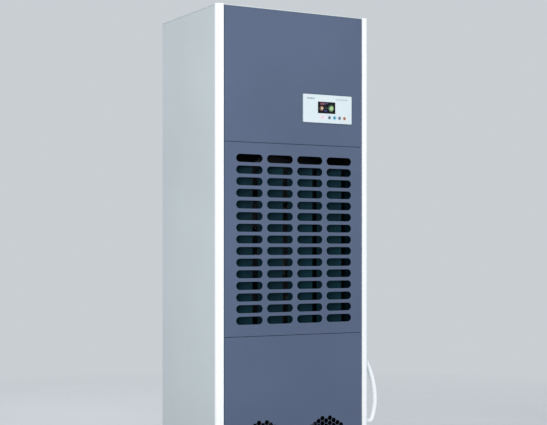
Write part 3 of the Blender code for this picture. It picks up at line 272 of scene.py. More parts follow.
def enamel(name, colour, roughness=0.32):
    shader = Shader(name, roughness)
    shader.link(shader.mottle(14, 5, scaled(colour, 0.8), scaled(colour, 1.35)), "Base Color")
    shader.link(shader.spread(shader.noise(30, 5), roughness - 0.08, roughness + 0.14), "Roughness")
    shader.bump(shader.noise(260, 3), 0.0001, 0.5)
    shader.value("Specular IOR Level", 0.2)
    return shader.material


def rubber(name, colour):
    shader = Shader(name, 0.72)
    shader.link(shader.ramp(shader.noise(90, 5), 0.3, 0.75, colour, scaled(colour, 1.9)), "Base Color")
    shader.link(shader.spread(shader.noise(140, 4), 0.6, 0.85), "Roughness")
    shader.bump(shader.noise(900, 3), 0.00008, 0.8)
    return shader.material


def air_guide(name):
    """Dark teal air guide with faint upright streaks."""
    shader = Shader(name, 0.5)
    tone = shader.mottle(18, 5, srgb(3, 34, 46), srgb(6, 44, 54))
    brushed = shader.mottle(40, 4, (0.7, 0.72, 0.72, 1), WHITE, stretch=(1, 1, 0.06))
    shader.link(shader.multiply(tone, brushed), "Base Color")
    shader.value("Specular IOR Level", 0.04)
    shader.bump(shader.noise(700, 2), 0.00005, 0.6)
    return shader.material


def filter_weave(name):
    """Fine nylon weave: crossing threads in tone and relief."""
    shader = Shader(name, 0.75)
    across, up = shader.bands(260, "X"), shader.bands(260, "Z")
    threads = shader.multiply(
        shader.ramp(across, 0.2, 0.8, (0.45, 0.45, 0.45, 1), WHITE),
        shader.ramp(up, 0.2, 0.8, (0.45, 0.45, 0.45, 1), WHITE),
    )
    lint = shader.ramp(shader.noise(7, 6), 0.4, 0.75, srgb(52, 56, 60), srgb(92, 94, 94))
    shader.link(shader.multiply(threads, lint), "Base Color")
    shader.bump(threads, 0.0003, 0.6)
    return shader.material


def circuit_board(name):
    shader = Shader(name, 0.4)
    distance = shader.cells(160, "DISTANCE_TO_EDGE").outputs["Distance"]
    shader.link(shader.ramp(distance, 0.02, 0.08, srgb(150, 140, 70), srgb(20, 92, 58)), "Base Color")
    shader.bump(distance, 0.0001, 0.5)
    return shader.material


def display_glass(name):
    shader = Shader(name, 0.12)
    shader.link(shader.mottle(40, 4, srgb(3, 4, 10), srgb(10, 11, 20)), "Base Color")
    shader.link(shader.spread(shader.noise(16, 5), 0.08, 0.22), "Roughness")
    shader.value("Specular IOR Level", 0.2)
    return shader.material


def glowing(name, colour):
    """A lit part of the display, with a slight unevenness across it."""
    shader = Shader(name, 0.35)
    source = shader.noise(160, 3)
    shader.link(shader.ramp(source, 0.3, 0.7, scaled(colour, 0.10), scaled(colour, 0.16)), "Base Color")
    shader.link(shader.ramp(source, 0.3, 0.7, scaled(colour, 0.84), colour), "Emission Color")
    shader.value("Emission Strength", 1.0)
    return shader.material


MATERIALS = {
    "post_white": powder_coat("post_white", srgb(249, 251, 251), 0.30, 0.02, 0.01, 0.05),
    "casing_grey": powder_coat("casing_grey", srgb(203, 211, 213), 0.42, 0.05, 0.03, 0.08),
    "panel_slate": powder_coat("panel_slate", srgb(89, 101, 126), 0.40, 0.08, 0.05, 0.10, 0.22),
    "bezel_white": moulded("bezel_white", srgb(216, 227, 230), 0.34, 0.00002, 0.02),
    "screen_glass": display_glass("screen_glass"),
    "button_grey": moulded("button_grey", srgb(88, 108, 120), 0.38),
    "button_cyan": moulded("button_cyan", srgb(58, 142, 166), 0.38),
    "button_orange": moulded("button_orange", srgb(158, 98, 68), 0.38),
    "lens_pink": moulded("lens_pink", srgb(232, 196, 202), 0.2, coat=0.5),
    "duct_teal": air_guide("duct_teal"),
    "zinc_steel": zinc_plate("zinc_steel"),
    "coil_aluminium": fin_pack("coil_aluminium"),
    "copper": drawn_copper("copper"),
    "compressor_black": enamel("compressor_black", srgb(17, 19, 22)),
    "black_plastic": moulded("black_plastic", srgb(42, 43, 45), 0.5),
    "fan_black": enamel("fan_black", srgb(20, 22, 25), 0.46),
    "circuit_green": circuit_board("circuit_green"),
    "filter_mesh": filter_weave("filter_mesh"),
    "pan_plastic": moulded("pan_plastic", srgb(176, 180, 182), 0.5),
    "clear_hose": moulded("clear_hose", srgb(206, 210, 208), 0.3, coat=0.4),
    "tyre_rubber": rubber("tyre_rubber", srgb(62, 63, 66)),
    "brake_red": moulded("brake_red", srgb(176, 42, 34), 0.42),
}
SLOT_OF = {entry["node"]: entry["material_slot"] for entry in frame["record"]["subparts"]}
BODIES = frame["record"]["behaviour"]["bodies"]
BODY_OF = {node: body for body, nodes in BODIES.items() for node in nodes}


# ---------------------------------------------------------------- mesh helpers
SMOOTH_ANGLE = 35
BEVEL_ANGLE = 30
WELD_DISTANCE = 1e-6
FLAT_FACE = 0.99999


def publish(name, bm, body, slot, node=None, material=None, smooth_angle=SMOOTH_ANGLE):
    """Turns a bmesh into a finished piece on a body, and lets it stand for a CAD node."""
    bmesh.ops.recalc_face_normals(bm, faces=bm.faces)
    mesh = bpy.data.meshes.new(name)
    bm.to_mesh(mesh)
    bm.free()
    publish_mesh(name, mesh, body, slot, node, smooth_angle, material)
    for polygon in mesh.polygons:
        if max(abs(axis) for axis in polygon.normal) > FLAT_FACE:
            polygon.use_smooth = False


def publish_mesh(name, mesh, body, slot, node, smooth_angle, material=None):
    """Puts a mesh in the scene as a piece. With an angle of None it keeps the shading it has."""
    mesh.name = name
    mesh.materials.clear()
    mesh.materials.append(material or MATERIALS[slot])
    if smooth_angle is not None:
        mesh.shade_smooth()
        mesh.set_sharp_from_angle(angle=math.radians(smooth_angle))
    piece = bpy.data.objects.new(name, mesh)
    bpy.context.scene.collection.objects.link(piece)
    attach(piece, body)
    if node:
        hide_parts(node)


def evaluated_mesh(obj):
    """The mesh that obj's modifiers or curve settings make, as data of its own; obj is then removed."""
    graph = bpy.context.evaluated_depsgraph_get()
    mesh = bpy.data.meshes.new_from_object(obj.evaluated_get(graph))
    bpy.data.objects.remove(obj)
    return mesh


def rounded(mesh, width, segments):
    """mesh with its sharp edges rounded and its flats kept flat in the shading."""
    mesh.shade_smooth()
    obj = bpy.data.objects.new("rounding", mesh)
    bpy.context.scene.collection.objects.link(obj)
    bevel = obj.modifiers.new("bevel", "BEVEL")
    bevel.width = width
    bevel.segments = segments
    bevel.limit_method = "ANGLE"
    bevel.angle_limit = math.radians(BEVEL_ANGLE)
    bevel.use_clamp_overlap = True
    weighted = obj.modifiers.new("weighted", "WEIGHTED_NORMAL")
    weighted.keep_sharp = True
    weighted.weight = 100
    return evaluated_mesh(obj)


def refine(node, width=0.0, segments=2, name=None):
    """A copy of a CAD node with welded corners and, if width is given, rounded edges."""
    bm = bmesh.new()
    bm.from_mesh(NODES[node].data)
    bmesh.ops.remove_doubles(bm, verts=bm.verts, dist=WELD_DISTANCE)
    bmesh.ops.dissolve_limit(bm, angle_limit=math.radians(0.5), verts=bm.verts, edges=bm.edges)
    mesh = bpy.data.meshes.new(node)
    bm.to_mesh(mesh)
    bm.free()
    if width:
        mesh = rounded(mesh, width, segments)
    smooth = None if width else SMOOTH_ANGLE
    publish_mesh(name or f"{node}_skin", mesh, BODY_OF[node], SLOT_OF[node], node, smooth)


def add_box(bm, corner_a, corner_b):
    a, b = Vector(corner_a), Vector(corner_b)
    size = Vector([abs(v) for v in b - a])
    place = Matrix.Translation((a + b) / 2) @ Matrix.Diagonal((*size, 1))
    bmesh.ops.create_cube(bm, size=1, matrix=place)


def arc(centre, radius, start, end, steps):
    points = []
    for k in range(steps + 1):
        turn = math.radians(start + (end - start) * k / steps)
        points.append((centre[0] + radius * math.cos(turn), centre[1] + radius * math.sin(turn)))
    return points


def ring_of(centre, radius, sides):
    return arc(centre, radius, 0, 360 - 360 / sides, sides - 1)


def rounded_rectangle(low_corner, high_corner, radius, steps):
    (u0, v0), (u1, v1) = low_corner, high_corner
    corners = (
        ((u1 - radius, v0 + radius), -90),
        ((u1 - radius, v1 - radius), 0),
        ((u0 + radius, v1 - radius), 90),
        ((u0 + radius, v0 + radius), 180),
    )
    points = []
    for centre, start in corners:
        points += arc(centre, radius, start, start + 90, steps)
    return points


def obround(u, v, length, height):
    steps = 12
    radius = height / 2
    reach = length / 2 - radius
    return arc((u + reach, v), radius, -90, 90, steps) + arc((u - reach, v), radius, 90, 270, steps)


def pierced_sheet(outline, holes, front, back, edge, steps=1):
    """A flat sheet in the XZ plane between two Y values, with holes and softened rims."""
    curve = bpy.data.curves.new("sheet", "CURVE")
    curve.dimensions = "2D"
    curve.fill_mode = "BOTH"
    curve.bevel_depth = edge
    curve.bevel_resolution = steps
    curve.offset = -edge
    curve.extrude = (back - front) / 2 - edge
    for points in (outline, *holes):
        spline = curve.splines.new("POLY")
        spline.points.add(len(points) - 1)
        for target, (u, v) in zip(spline.points, points):
            target.co = (u, v, 0, 1)
        spline.use_cyclic_u = True
    obj = bpy.data.objects.new("sheet", curve)
    bpy.context.scene.collection.objects.link(obj)
    mesh = evaluated_mesh(obj)
    place = Matrix(((1, 0, 0, 0), (0, 0, 1, (front + back) / 2), (0, 1, 0, 0), (0, 0, 0, 1)))
    mesh.transform(place)
    bm = bmesh.new()
    bm.from_mesh(mesh)
    bmesh.ops.remove_doubles(bm, verts=bm.verts, dist=1e-7)
    bpy.data.meshes.remove(mesh)
    return bm


def lathe(bm, profile, centre, axis, sides):
    """Turns an open profile of (radius, height) points, from axis to axis or closed on itself."""
    frames = {
        "X": Matrix(((0, 0, 1), (1, 0, 0), (0, 1, 0))),
        "Y": Matrix(((1, 0, 0), (0, 0, 1), (0, 1, 0))),
        "Z": Matrix.Identity(3),
    }
    place = frames[axis]
    centre = Vector(centre)
    rings = []
    for radius, height in profile:
        if radius == 0:
            rings.append([bm.verts.new(centre + place @ Vector((0, 0, height)))] * sides)
            continue
        ring = []
        for k in range(sides):
            turn = 2 * math.pi * k / sides
            local = Vector((radius * math.cos(turn), radius * math.sin(turn), height))
            ring.append(bm.verts.new(centre + place @ local))
        rings.append(ring)
    if profile[0][0] != 0:
        rings.append(rings[0])
    for first, second in zip(rings, rings[1:]):
        for k in range(sides):
            corners = (first[k], first[(k + 1) % sides], second[(k + 1) % sides], second[k])
            distinct = list(dict.fromkeys(corners))
            if len(distinct) > 2:
                bm.faces.new(distinct)


def bezier(p0, p1, p2, p3, steps):
    points = []
    for k in range(steps + 1):
        t = k / steps
        weights = ((1 - t) ** 3, 3 * t * (1 - t) ** 2, 3 * t * t * (1 - t), t**3)
        points.append(sum((Vector(p) * w for p, w in zip((p0, p1, p2, p3), weights)), Vector((0, 0))))
    return points


# ---------------------------------------------------------------- casing
SHADOW_GAP = 0.0016
PANEL_CORNER, PANEL_RIM = 0.0012, 0.0005
POST_RADIUS, POST_EDGE = 0.013, 0.0012


def add_returns(bm, node):
    """The four folded edges behind a front panel's face."""
    (x0, y0, z0), (x1, y1, z1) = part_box(node)
    x0, x1 = x0 + SHADOW_GAP, x1 - SHADOW_GAP
    back = y0 + SHEET * 0.6
    add_box(bm, (x0, back, z0), (x0 + SHEET, y1, z1))
    add_box(bm, (x1 - SHEET, back, z0), (x1, y1, z1))
    add_box(bm, (x0 + SHEET, back, z0), (x1 - SHEET, y1, z0 + SHEET))
    add_box(bm, (x0 + SHEET, back, z1 - SHEET), (x1 - SHEET, y1, z1))


def front_panel(node, holes, name):
    (x0, y0, z0), (x1, _, z1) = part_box(node)
    outline = rounded_rectangle((x0 + SHADOW_GAP, z0), (x1 - SHADOW_GAP, z1), PANEL_CORNER, 2)
    bm = pierced_sheet(outline, holes, y0, y0 + SHEET, PANEL_RIM)
    add_returns(bm, node)
    publish(name, bm, "cabinet", "panel_slate", node)


def outlet_slots():
    centre_z = middle("outlet_grille").z
    slots = []
    for row in range(SLOT_ROWS):
        z = centre_z + (row - (SLOT_ROWS - 1) / 2) * SLOT_PITCH_Z
        for column in range(SLOT_COLUMNS):
            x = CASING_X + (column - (SLOT_COLUMNS - 1) / 2) * SLOT_PITCH_X
            slots.append(obround(x, z, SLOT_LENGTH, SLOT_HEIGHT))
    return slots


def perforation():
    """Two round fields of honeycomb holes, at a finer pitch than the CAD has."""
    holes = []
    reach = math.ceil(VENT_RADIUS / PERFORATION_PITCH) + 1
    column_pitch = PERFORATION_PITCH * math.sqrt(3) / 2
    for side in (-1, 1):
        for column in range(-reach, reach + 1):
            for row in range(-reach, reach + 1):
                u = column * column_pitch
                v = (row + 0.5 * (column % 2)) * PERFORATION_PITCH
                if math.hypot(u, v) > VENT_RADIUS:
                    continue
                centre = (CASING_X + side * VENT_OFFSET + u, VENT_HEIGHT + v)
                holes.append(arc(centre, PERFORATION_RADIUS, 0, 300, 5))
    return holes


def make_front():
    front_panel("outlet_grille", outlet_slots(), "outlet_panel")
    front_panel("lower_front_panel", perforation(), "lower_panel")
    bezel_low, bezel_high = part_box("controller_bezel")
    margin = 0.006
    low_corner = (bezel_low.x + margin, bezel_low.z + margin)
    high_corner = (bezel_high.x - margin, bezel_high.z - margin)
    opening = rounded_rectangle(low_corner, high_corner, 0.002, 2)
    front_panel("upper_front_panel", [opening], "upper_panel")


def make_posts():
    """Smooth white corner columns, with a rounded outer corner and soft edges."""
    for node, side in (("post_front_left", -1), ("post_front_right", 1)):
        (x0, y0, z0), (x1, y1, z1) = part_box(node)
        outer, inner = (x0, x1) if side < 0 else (x1, x0)
        centre = (outer - side * POST_RADIUS, y0 + POST_RADIUS)
        bend = arc(centre, POST_RADIUS, 270, 270 + side * 90, 14)
        outline = [(inner, y0), *bend, (outer, y1), (inner, y1)]
        bm = bmesh.new()
        rims = [[bm.verts.new((x, y, z)) for x, y in outline] for z in (z0, z1)]
        bm.faces.new(rims[0])
        bm.faces.new(rims[1])
        for i in range(len(outline)):
            j = (i + 1) % len(outline)
            bm.faces.new((rims[0][i], rims[0][j], rims[1][j], rims[1][i]))
        bmesh.ops.recalc_face_normals(bm, faces=bm.faces)
        mesh = bpy.data.meshes.new(node)
        bm.to_mesh(mesh)
        bm.free()
        mesh = rounded(mesh, POST_EDGE, 3)
        publish_mesh(f"{node}_column", mesh, "cabinet", "post_white", node, None)


def make_casing():
    for node in ("left_side_panel", "right_side_panel"):
        refine(node, 0.0006)
    refine("top_cover", 0.0016, 3)
    refine("base_tray", 0.0005)
    refine("service_door", 0.0005)
    for node in ("hinge_leaf_upper", "hinge_leaf_lower", "door_catch"):
        refine(node, 0.0004)
    for node in ("hinge_pin_upper", "hinge_pin_lower"):
        refine(node)


# ---------------------------------------------------------------- handle
def make_handle():
    """The bow handle: a rounded bar swept down a long upper slope, a straight shank and a tight foot."""
    (x0, y0, z0), (x1, y1, _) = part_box("door_handle")
    bar, breadth = 0.0140, y1 - y0
    crown, foot = x1 - x0 - bar / 2, z0 + 0.006
    upper = bezier((0.002, 0.494), (0.030, 0.456), (crown, 0.400), (crown, 0.344), 26)
    lower = bezier((crown, 0.344), (crown, 0.318), (0.043, 0.294), (0.037, foot + 0.007), 14)
    knee = bezier((0.037, foot + 0.007), (0.034, foot + 0.001), (0.030, foot), (0.022, foot), 8)
    line = upper + lower[1:] + knee[1:] + [Vector((0.010, foot)), Vector((0.0, foot))]
    bm = bmesh.new()
    rings = []
    sides, squareness = 28, 0.60
    for i, point in enumerate(line):
        along = (line[min(i + 1, len(line) - 1)] - line[max(i - 1, 0)]).normalized()
        across = Vector((-along.y, along.x))
        ring = []
        for k in range(sides):
            turn = 2 * math.pi * (k + 0.5) / sides
            out = math.copysign(abs(math.cos(turn)) ** squareness, math.cos(turn)) * bar / 2
            wide = math.copysign(abs(math.sin(turn)) ** squareness, math.sin(turn)) * breadth / 2
            place = point + across * out
            ring.append(bm.verts.new((x0 + max(0.0, place.x), (y0 + y1) / 2 + wide, place.y)))
        rings.append(ring)
    for first, second in zip(rings, rings[1:]):
        for k in range(sides):
            bm.faces.new((first[k], first[(k + 1) % sides], second[(k + 1) % sides], second[k]))
    bm.faces.new(rings[0])
    bm.faces.new(rings[-1])
    publish("bow_handle", bm, "service_door", "post_white", "door_handle", smooth_angle=50)


# ---------------------------------------------------------------- controller
def flat_shape(bm, outline, front, back):
    """Extrudes an XZ outline between two Y values."""
    rims = [[bm.verts.new((u, y, v)) for u, v in outline] for y in (front, back)]
    bm.faces.new(rims[0])
    bm.faces.new(rims[1])
    for i in range(len(outline)):
        j = (i + 1) % len(outline)
        bm.faces.new((rims[0][i], rims[0][j], rims[1][j], rims[1][i]))


BUTTONS = ("mode_button", "down_button", "up_button", "power_button")
SCREEN_GAP, KEY_GAP, LENS_GAP = 0.0003, 0.0004, 0.0003
BEZEL_CORNER, BEZEL_EDGE = 0.0035, 0.0009
PRINT_PROUD, PRINT_SUNK = 0.00008, 0.0001


def make_bezel():
    (x0, y0, z0), (x1, y1, z1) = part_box("controller_bezel")
    screen_low, screen_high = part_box("display_screen")
    low_corner = (screen_low.x - SCREEN_GAP, screen_low.z - SCREEN_GAP)
    high_corner = (screen_high.x + SCREEN_GAP, screen_high.z + SCREEN_GAP)
    holes = [rounded_rectangle(low_corner, high_corner, 0.0008, 2)]
    for node in BUTTONS:
        place = middle(node)
        holes.append(ring_of((place.x, place.z), (high(node).x - low(node).x) / 2 + KEY_GAP, 32))
    lens = middle("status_lens")
    lens_radius = (high("status_lens").x - low("status_lens").x) / 2
    holes.append(ring_of((lens.x, lens.z), lens_radius + LENS_GAP, 24))
    face_back = PANEL_FACE - 0.0003
    outline = rounded_rectangle((x0, z0), (x1, z1), BEZEL_CORNER, 6)
    bm = pierced_sheet(outline, holes, y0, face_back, BEZEL_EDGE, 2)
    inset, wall = 0.0066, 0.0016
    u0, v0, u1, v1 = x0 + inset, z0 + inset, x1 - inset, z1 - inset
    for corner_a, corner_b in (
        ((u0, v0), (u1, v0 + wall)),
        ((u0, v1 - wall), (u1, v1)),
        ((u0, v0 + wall), (u0 + wall, v1 - wall)),
        ((u1 - wall, v0 + wall), (u1, v1 - wall)),
    ):
        add_box(bm, (corner_a[0], face_back - 0.0002, corner_a[1]), (corner_b[0], y1, corner_b[1]))
    publish("controller_face", bm, "cabinet", "bezel_white", "controller_bezel")


def make_keys():
    """Domed key caps with a printed ring round each, and the status lamp."""
    halo_looks = {
        "button_grey": moulded("halo_grey", srgb(198, 212, 220), 0.4),
        "button_cyan": moulded("halo_cyan", srgb(176, 222, 238), 0.4),
        "button_orange": moulded("halo_orange", srgb(238, 214, 200), 0.4),
    }
    for node in BUTTONS:
        (x0, y0, z0), (x1, y1, z1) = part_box(node)
        radius, centre = (x1 - x0) / 2, Vector(((x0 + x1) / 2, y0, (z0 + z1) / 2))
        bm = bmesh.new()
        profile = [
            (0, 0.00045),
            (radius * 0.45, 0.0004),
            (radius * 0.72, 0.0001),
            (radius * 0.86, 0.0),
            (radius * 0.96, 0.0002),
            (radius, 0.0007),
            (radius, 0.0052),
            (0.0015, 0.0052),
            (0.0015, y1 - y0),
            (0, y1 - y0),
        ]
        lathe(bm, profile, centre, "Y", 40)
        publish(f"{node}_cap", bm, BODY_OF[node], SLOT_OF[node], node)
        halo = bmesh.new()
        inner, outer = radius + 0.0010, radius + 0.0034
        section = [(inner, 0), (outer, 0), (outer, 0.0002), (inner, 0.0002)]
        lathe(halo, section, (centre.x, BEZEL_FACE - 0.0001, centre.z), "Y", 40)
        publish(f"{node}_ring", halo, "cabinet", SLOT_OF[node], material=halo_looks[SLOT_OF[node]])
    (x0, y0, z0), (x1, y1, z1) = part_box("status_lens")
    radius, centre = (x1 - x0) / 2, Vector(((x0 + x1) / 2, y0, (z0 + z1) / 2))
    bm = bmesh.new()
    dome = [(0, 0), (radius * 0.5, 0.00008), (radius * 0.85, 0.0003), (radius, 0.0008)]
    lathe(bm, [*dome, (radius, y1 - y0), (0, y1 - y0)], centre, "Y", 32)
    publish("status_lamp", bm, "cabinet", "lens_pink", "status_lens")
    half = 0.0058
    low_corner = (centre.x - 0.0100, centre.z - half)
    high_corner = (centre.x + 0.0110, centre.z + half)
    field = rounded_rectangle(low_corner, high_corner, 0.0016, 4)
    hole = ring_of((centre.x, centre.z), radius + 0.0006, 24)
    bm = pierced_sheet(field, [hole], BEZEL_FACE - 0.0001, BEZEL_FACE + 0.0001, 0.00002)
    look = moulded("field_pink", srgb(232, 216, 224), 0.4)
    publish("status_field", bm, "cabinet", "lens_pink", material=look)


def make_display():
    """The display window and its lit picture: generic bars and two round gauges, no lettering."""
    refine("display_screen", 0.0004, name="display_window")
    (x0, y0, z0), (x1, _, z1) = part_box("display_screen")
    width, height = x1 - x0, z1 - z0
    front, back = y0 - PRINT_PROUD, y0 + PRINT_SUNK

    def spot(u, v):
        return x0 + u * width, z0 + v * height

    def bars(name, places, size, look):
        bm = bmesh.new()
        for u, v in places:
            x, z = spot(u, v)
            half_w, half_h = size[0] * width / 2, size[1] * height / 2
            low_corner, high_corner = (x - half_w, z - half_h), (x + half_w, z + half_h)
            flat_shape(bm, rounded_rectangle(low_corner, high_corner, half_h * 0.6, 3), front, back)
        publish(name, bm, "cabinet", "screen_glass", material=look)

    def gauge(name, u, v, inner, outer, look, start=0, end=360):
        x, z = spot(u, v)
        bm = bmesh.new()
        steps = 40
        rim = arc((x, z), outer * height, start, end, steps)
        if inner > 0:
            outline = rim + arc((x, z), inner * height, end, start, steps)
        else:
            outline = rim[:-1]
        if end - start < 360 or inner == 0:
            flat_shape(bm, outline, front, back)
        else:
            near, far = inner * height, outer * height
            section = [(near, front), (far, front), (far, back), (near, back)]
            lathe(bm, section, (x, 0, z), "Y", steps)
        publish(name, bm, "cabinet", "screen_glass", material=look)

    rose = glowing("lit_rose", srgb(142, 84, 110))
    violet = glowing("lit_violet", srgb(92, 74, 128))
    amber = glowing("lit_amber", srgb(158, 106, 66))
    warm_white = glowing("lit_warm_white", srgb(206, 192, 180))
    lime = glowing("lit_lime", srgb(116, 160, 98))
    pale_lime = glowing("lit_pale_lime", srgb(164, 200, 144))
    leaf = glowing("lit_leaf", srgb(34, 84, 62))
    blue = glowing("lit_blue", srgb(58, 60, 132))
    title = [(0.17, 0.88), (0.26, 0.88), (0.35, 0.88), (0.19, 0.77), (0.30, 0.77)]
    bars("display_title", title, (0.078, 0.080), rose)
    bars("display_header", [(0.45, 0.88), (0.54, 0.88), (0.42, 0.77)], (0.075, 0.060), violet)
    gauge("display_heat_ring", 0.215, 0.42, 0.145, 0.205, amber, 0, 290)
    gauge("display_heat_core", 0.235, 0.42, 0.0, 0.115, warm_white)
    bars("display_lines", [(0.46, 0.54), (0.48, 0.44)], (0.14, 0.035), leaf)
    bars("display_footer", [(0.38, 0.26), (0.49, 0.26), (0.43, 0.17)], (0.095, 0.060), blue)
    gauge("display_dry_rim", 0.77, 0.46, 0.270, 0.320, leaf, 60, 300)
    gauge("display_dry_ring", 0.77, 0.46, 0.205, 0.250, lime, -210, 100)
    gauge("display_dry_core", 0.77, 0.46, 0.0, 0.185, pale_lime)


def make_markings():
    """Plain printed marks on the bezel: three soft bars at the left and a row of ticks at the right."""
    (x0, _, _), (_, _, z1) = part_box("controller_bezel")
    ink = moulded("marking_ink", srgb(158, 172, 184), 0.5)
    front, back = BEZEL_FACE - PRINT_PROUD, BEZEL_FACE + PRINT_SUNK
    z = z1 - 0.0135
    places = [(x0 + 0.0140, 0.0090), (x0 + 0.0242, 0.0115), (x0 + 0.0370, 0.0065)]
    half, radius = 0.0026, 0.0014
    bm = bmesh.new()
    for start, length in places:
        outline = rounded_rectangle((start, z - half), (start + length, z + half), radius, 3)
        flat_shape(bm, outline, front, back)
    half, radius = 0.0020, 0.0008
    ticks, first, pitch, length = 12, 0.1275, 0.0039, 0.0024
    for k in range(ticks):
        start = x0 + first + k * pitch
        outline = rounded_rectangle((start, z - half), (start + length, z + half), radius, 2)
        flat_shape(bm, outline, front, back)
    publish("bezel_marks", bm, "cabinet", "bezel_white", material=ink)


# ---------------------------------------------------------------- back
def make_back():
    """The intake panel with its filter rails, and the filter with its support grid."""
    refine("rear_panel", 0.0003, 1)
    refine("air_filter", 0.0006)
    (x0, y0, z0), (x1, _, _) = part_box("air_filter")
    top = z0 + 0.590
    border, rib, pitch, wire = 0.016, 0.008, 0.0125, 0.0006
    bay = (x1 - x0 - 2 * border - 2 * rib) / 3
    bm = bmesh.new()
    face = y0 + 0.0060
    for k in range(3):
        left = x0 + border + k * (bay + rib)
        columns = round(bay / pitch)
        for i in range(1, columns):
            x = left + bay * i / columns
            add_box(bm, (x - wire, face, z0 + border), (x + wire, face + 0.0011, top - border))
        rows = round((top - z0 - 2 * border) / pitch)
        for i in range(1, rows):
            z = z0 + border + (top - z0 - 2 * border) * i / rows
            add_box(bm, (left, face + 0.0002, z - wire), (left + bay, face + 0.0013, z + wire))
    publish("filter_support_grid", bm, "air_filter", "filter_mesh", material=MATERIALS["black_plastic"])


def add_screw(bm, place, axis, outward, radius=0.0042):
    """A pan-head screw with a raised cross, seated on a face."""
    height = 0.0022 * outward
    shoulder, crown = (radius * 0.96, height * 0.45), (radius * 0.7, height * 0.9)
    lathe(bm, [(0, 0), (radius, 0), shoulder, crown, (0, height)], place, axis, 24)
    arm, depth = radius * 0.62, radius * 0.14
    root, lift = height * 0.82, height * 1.02
    x, y, z = place
    for across, along in ((arm, depth), (depth, arm)):
        if axis == "Y":
            add_box(bm, (x - across, y + root, z - along), (x + across, y + lift, z + along))
        else:
            add_box(bm, (x + root, y - across, z - along), (x + lift, y + across, z + along))


def make_screws():
    bm = bmesh.new()
    inset = 0.024
    for x in (CASING_LOW.x + inset, CASING_HIGH.x - inset):
        for k in range(7):
            z = 0.110 + (CASING_HIGH.z - 0.150) * k / 6
            add_screw(bm, (x, REAR_FACE, z), "Y", 1)
    for z in (0.096, CASING_HIGH.z - 0.026):
        for k in range(1, 4):
            x = CASING_LOW.x + inset + (CASING_HIGH.x - CASING_LOW.x - 2 * inset) * k / 4
            add_screw(bm, (x, REAR_FACE, z), "Y", 1)
    publish("rear_screws", bm, "cabinet", "zinc_steel")
    for ending in ("upper", "lower"):
        leaf_low, leaf_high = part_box(f"hinge_leaf_{ending}")
        bm = bmesh.new()
        for z in (leaf_low.z + 0.011, leaf_high.z - 0.011):
            add_screw(bm, (CASING_HIGH.x + 0.0020, leaf_high.y - 0.010, z), "X", 1, 0.0036)
        publish(f"hinge_screws_{ending}", bm, "cabinet", "zinc_steel")


def make_fittings():
    for node in ("drain_spigot", "cable_gland"):
        refine(node, 0.0004)


# ---------------------------------------------------------------- inside
FOAM = 0.004


def add_foam(bm, low_corner, high_corner):
    """One foam sheet with soft edges."""
    sheet = bmesh.new()
    add_box(sheet, low_corner, high_corner)
    bmesh.ops.bevel(sheet, geom=sheet.edges[:], offset=FOAM * 0.22, segments=2, affect="EDGES")
    mesh = bpy.data.meshes.new("foam")
    sheet.to_mesh(mesh)
    sheet.free()
    bm.from_mesh(mesh)
    bpy.data.meshes.remove(mesh)


def make_lining():
    """Black foam inside both side sheets by the outlet, and inside the service door."""
    foam = rubber("foam", srgb(20, 22, 25))
    plate_low, plate_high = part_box("fan_plate")
    front, back = high("outlet_grille").y + 0.002, plate_high.y - SHEET - 0.0004
    bottom, top = plate_low.z + 0.001, plate_high.z - 0.001
    left, right = plate_low.x + 0.0002, plate_high.x - 0.0002
    bm = bmesh.new()
    add_foam(bm, (left, front, bottom), (left + FOAM, back, top))
    add_foam(bm, (right - FOAM, front, bottom), (right, back, top))
    publish("foam_lining", bm, "cabinet", "black_plastic", material=foam)
    door_low, door_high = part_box("service_door")
    inset, outer = 0.026, CASING_HIGH.x - SHEET - 0.0003
    bm = bmesh.new()
    add_foam(
        bm,
        (outer - FOAM, door_low.y + inset, door_low.z + inset),
        (outer, door_high.y - 2 * inset, door_high.z - inset),
    )
    publish("door_foam", bm, "service_door", "black_plastic", material=foam)


def make_inside():
    make_lining()
    refine("vane_frame", 0.0003, 1)
    for node in ("fan_upper", "fan_lower", "motor_upper", "motor_lower"):
        refine(node)
    for node in ("compressor", "accumulator", "run_capacitor"):
        refine(node)
    for node in ("discharge_pipe", "suction_pipe", "liquid_line", "drain_tube"):
        refine(node)
    for node in ("lower_deck", "upper_deck", "fan_plate", "motor_bracket_upper", "motor_bracket_lower"):
        refine(node)
    for node in ("electrical_box", "contactor", "drain_pan", "control_board"):
        refine(node, 0.0004)
    for node in ("evaporator", "condenser"):
        refine(node)


# ---------------------------------------------------------------- casters
def make_casters():
    for ending in ("fl", "fr", "rl", "rr"):
        refine(f"caster_fork_{ending}", 0.0004)
        make_wheel(ending)
    for ending in ("fl", "fr"):
        refine(f"caster_brake_{ending}", 0.0006)


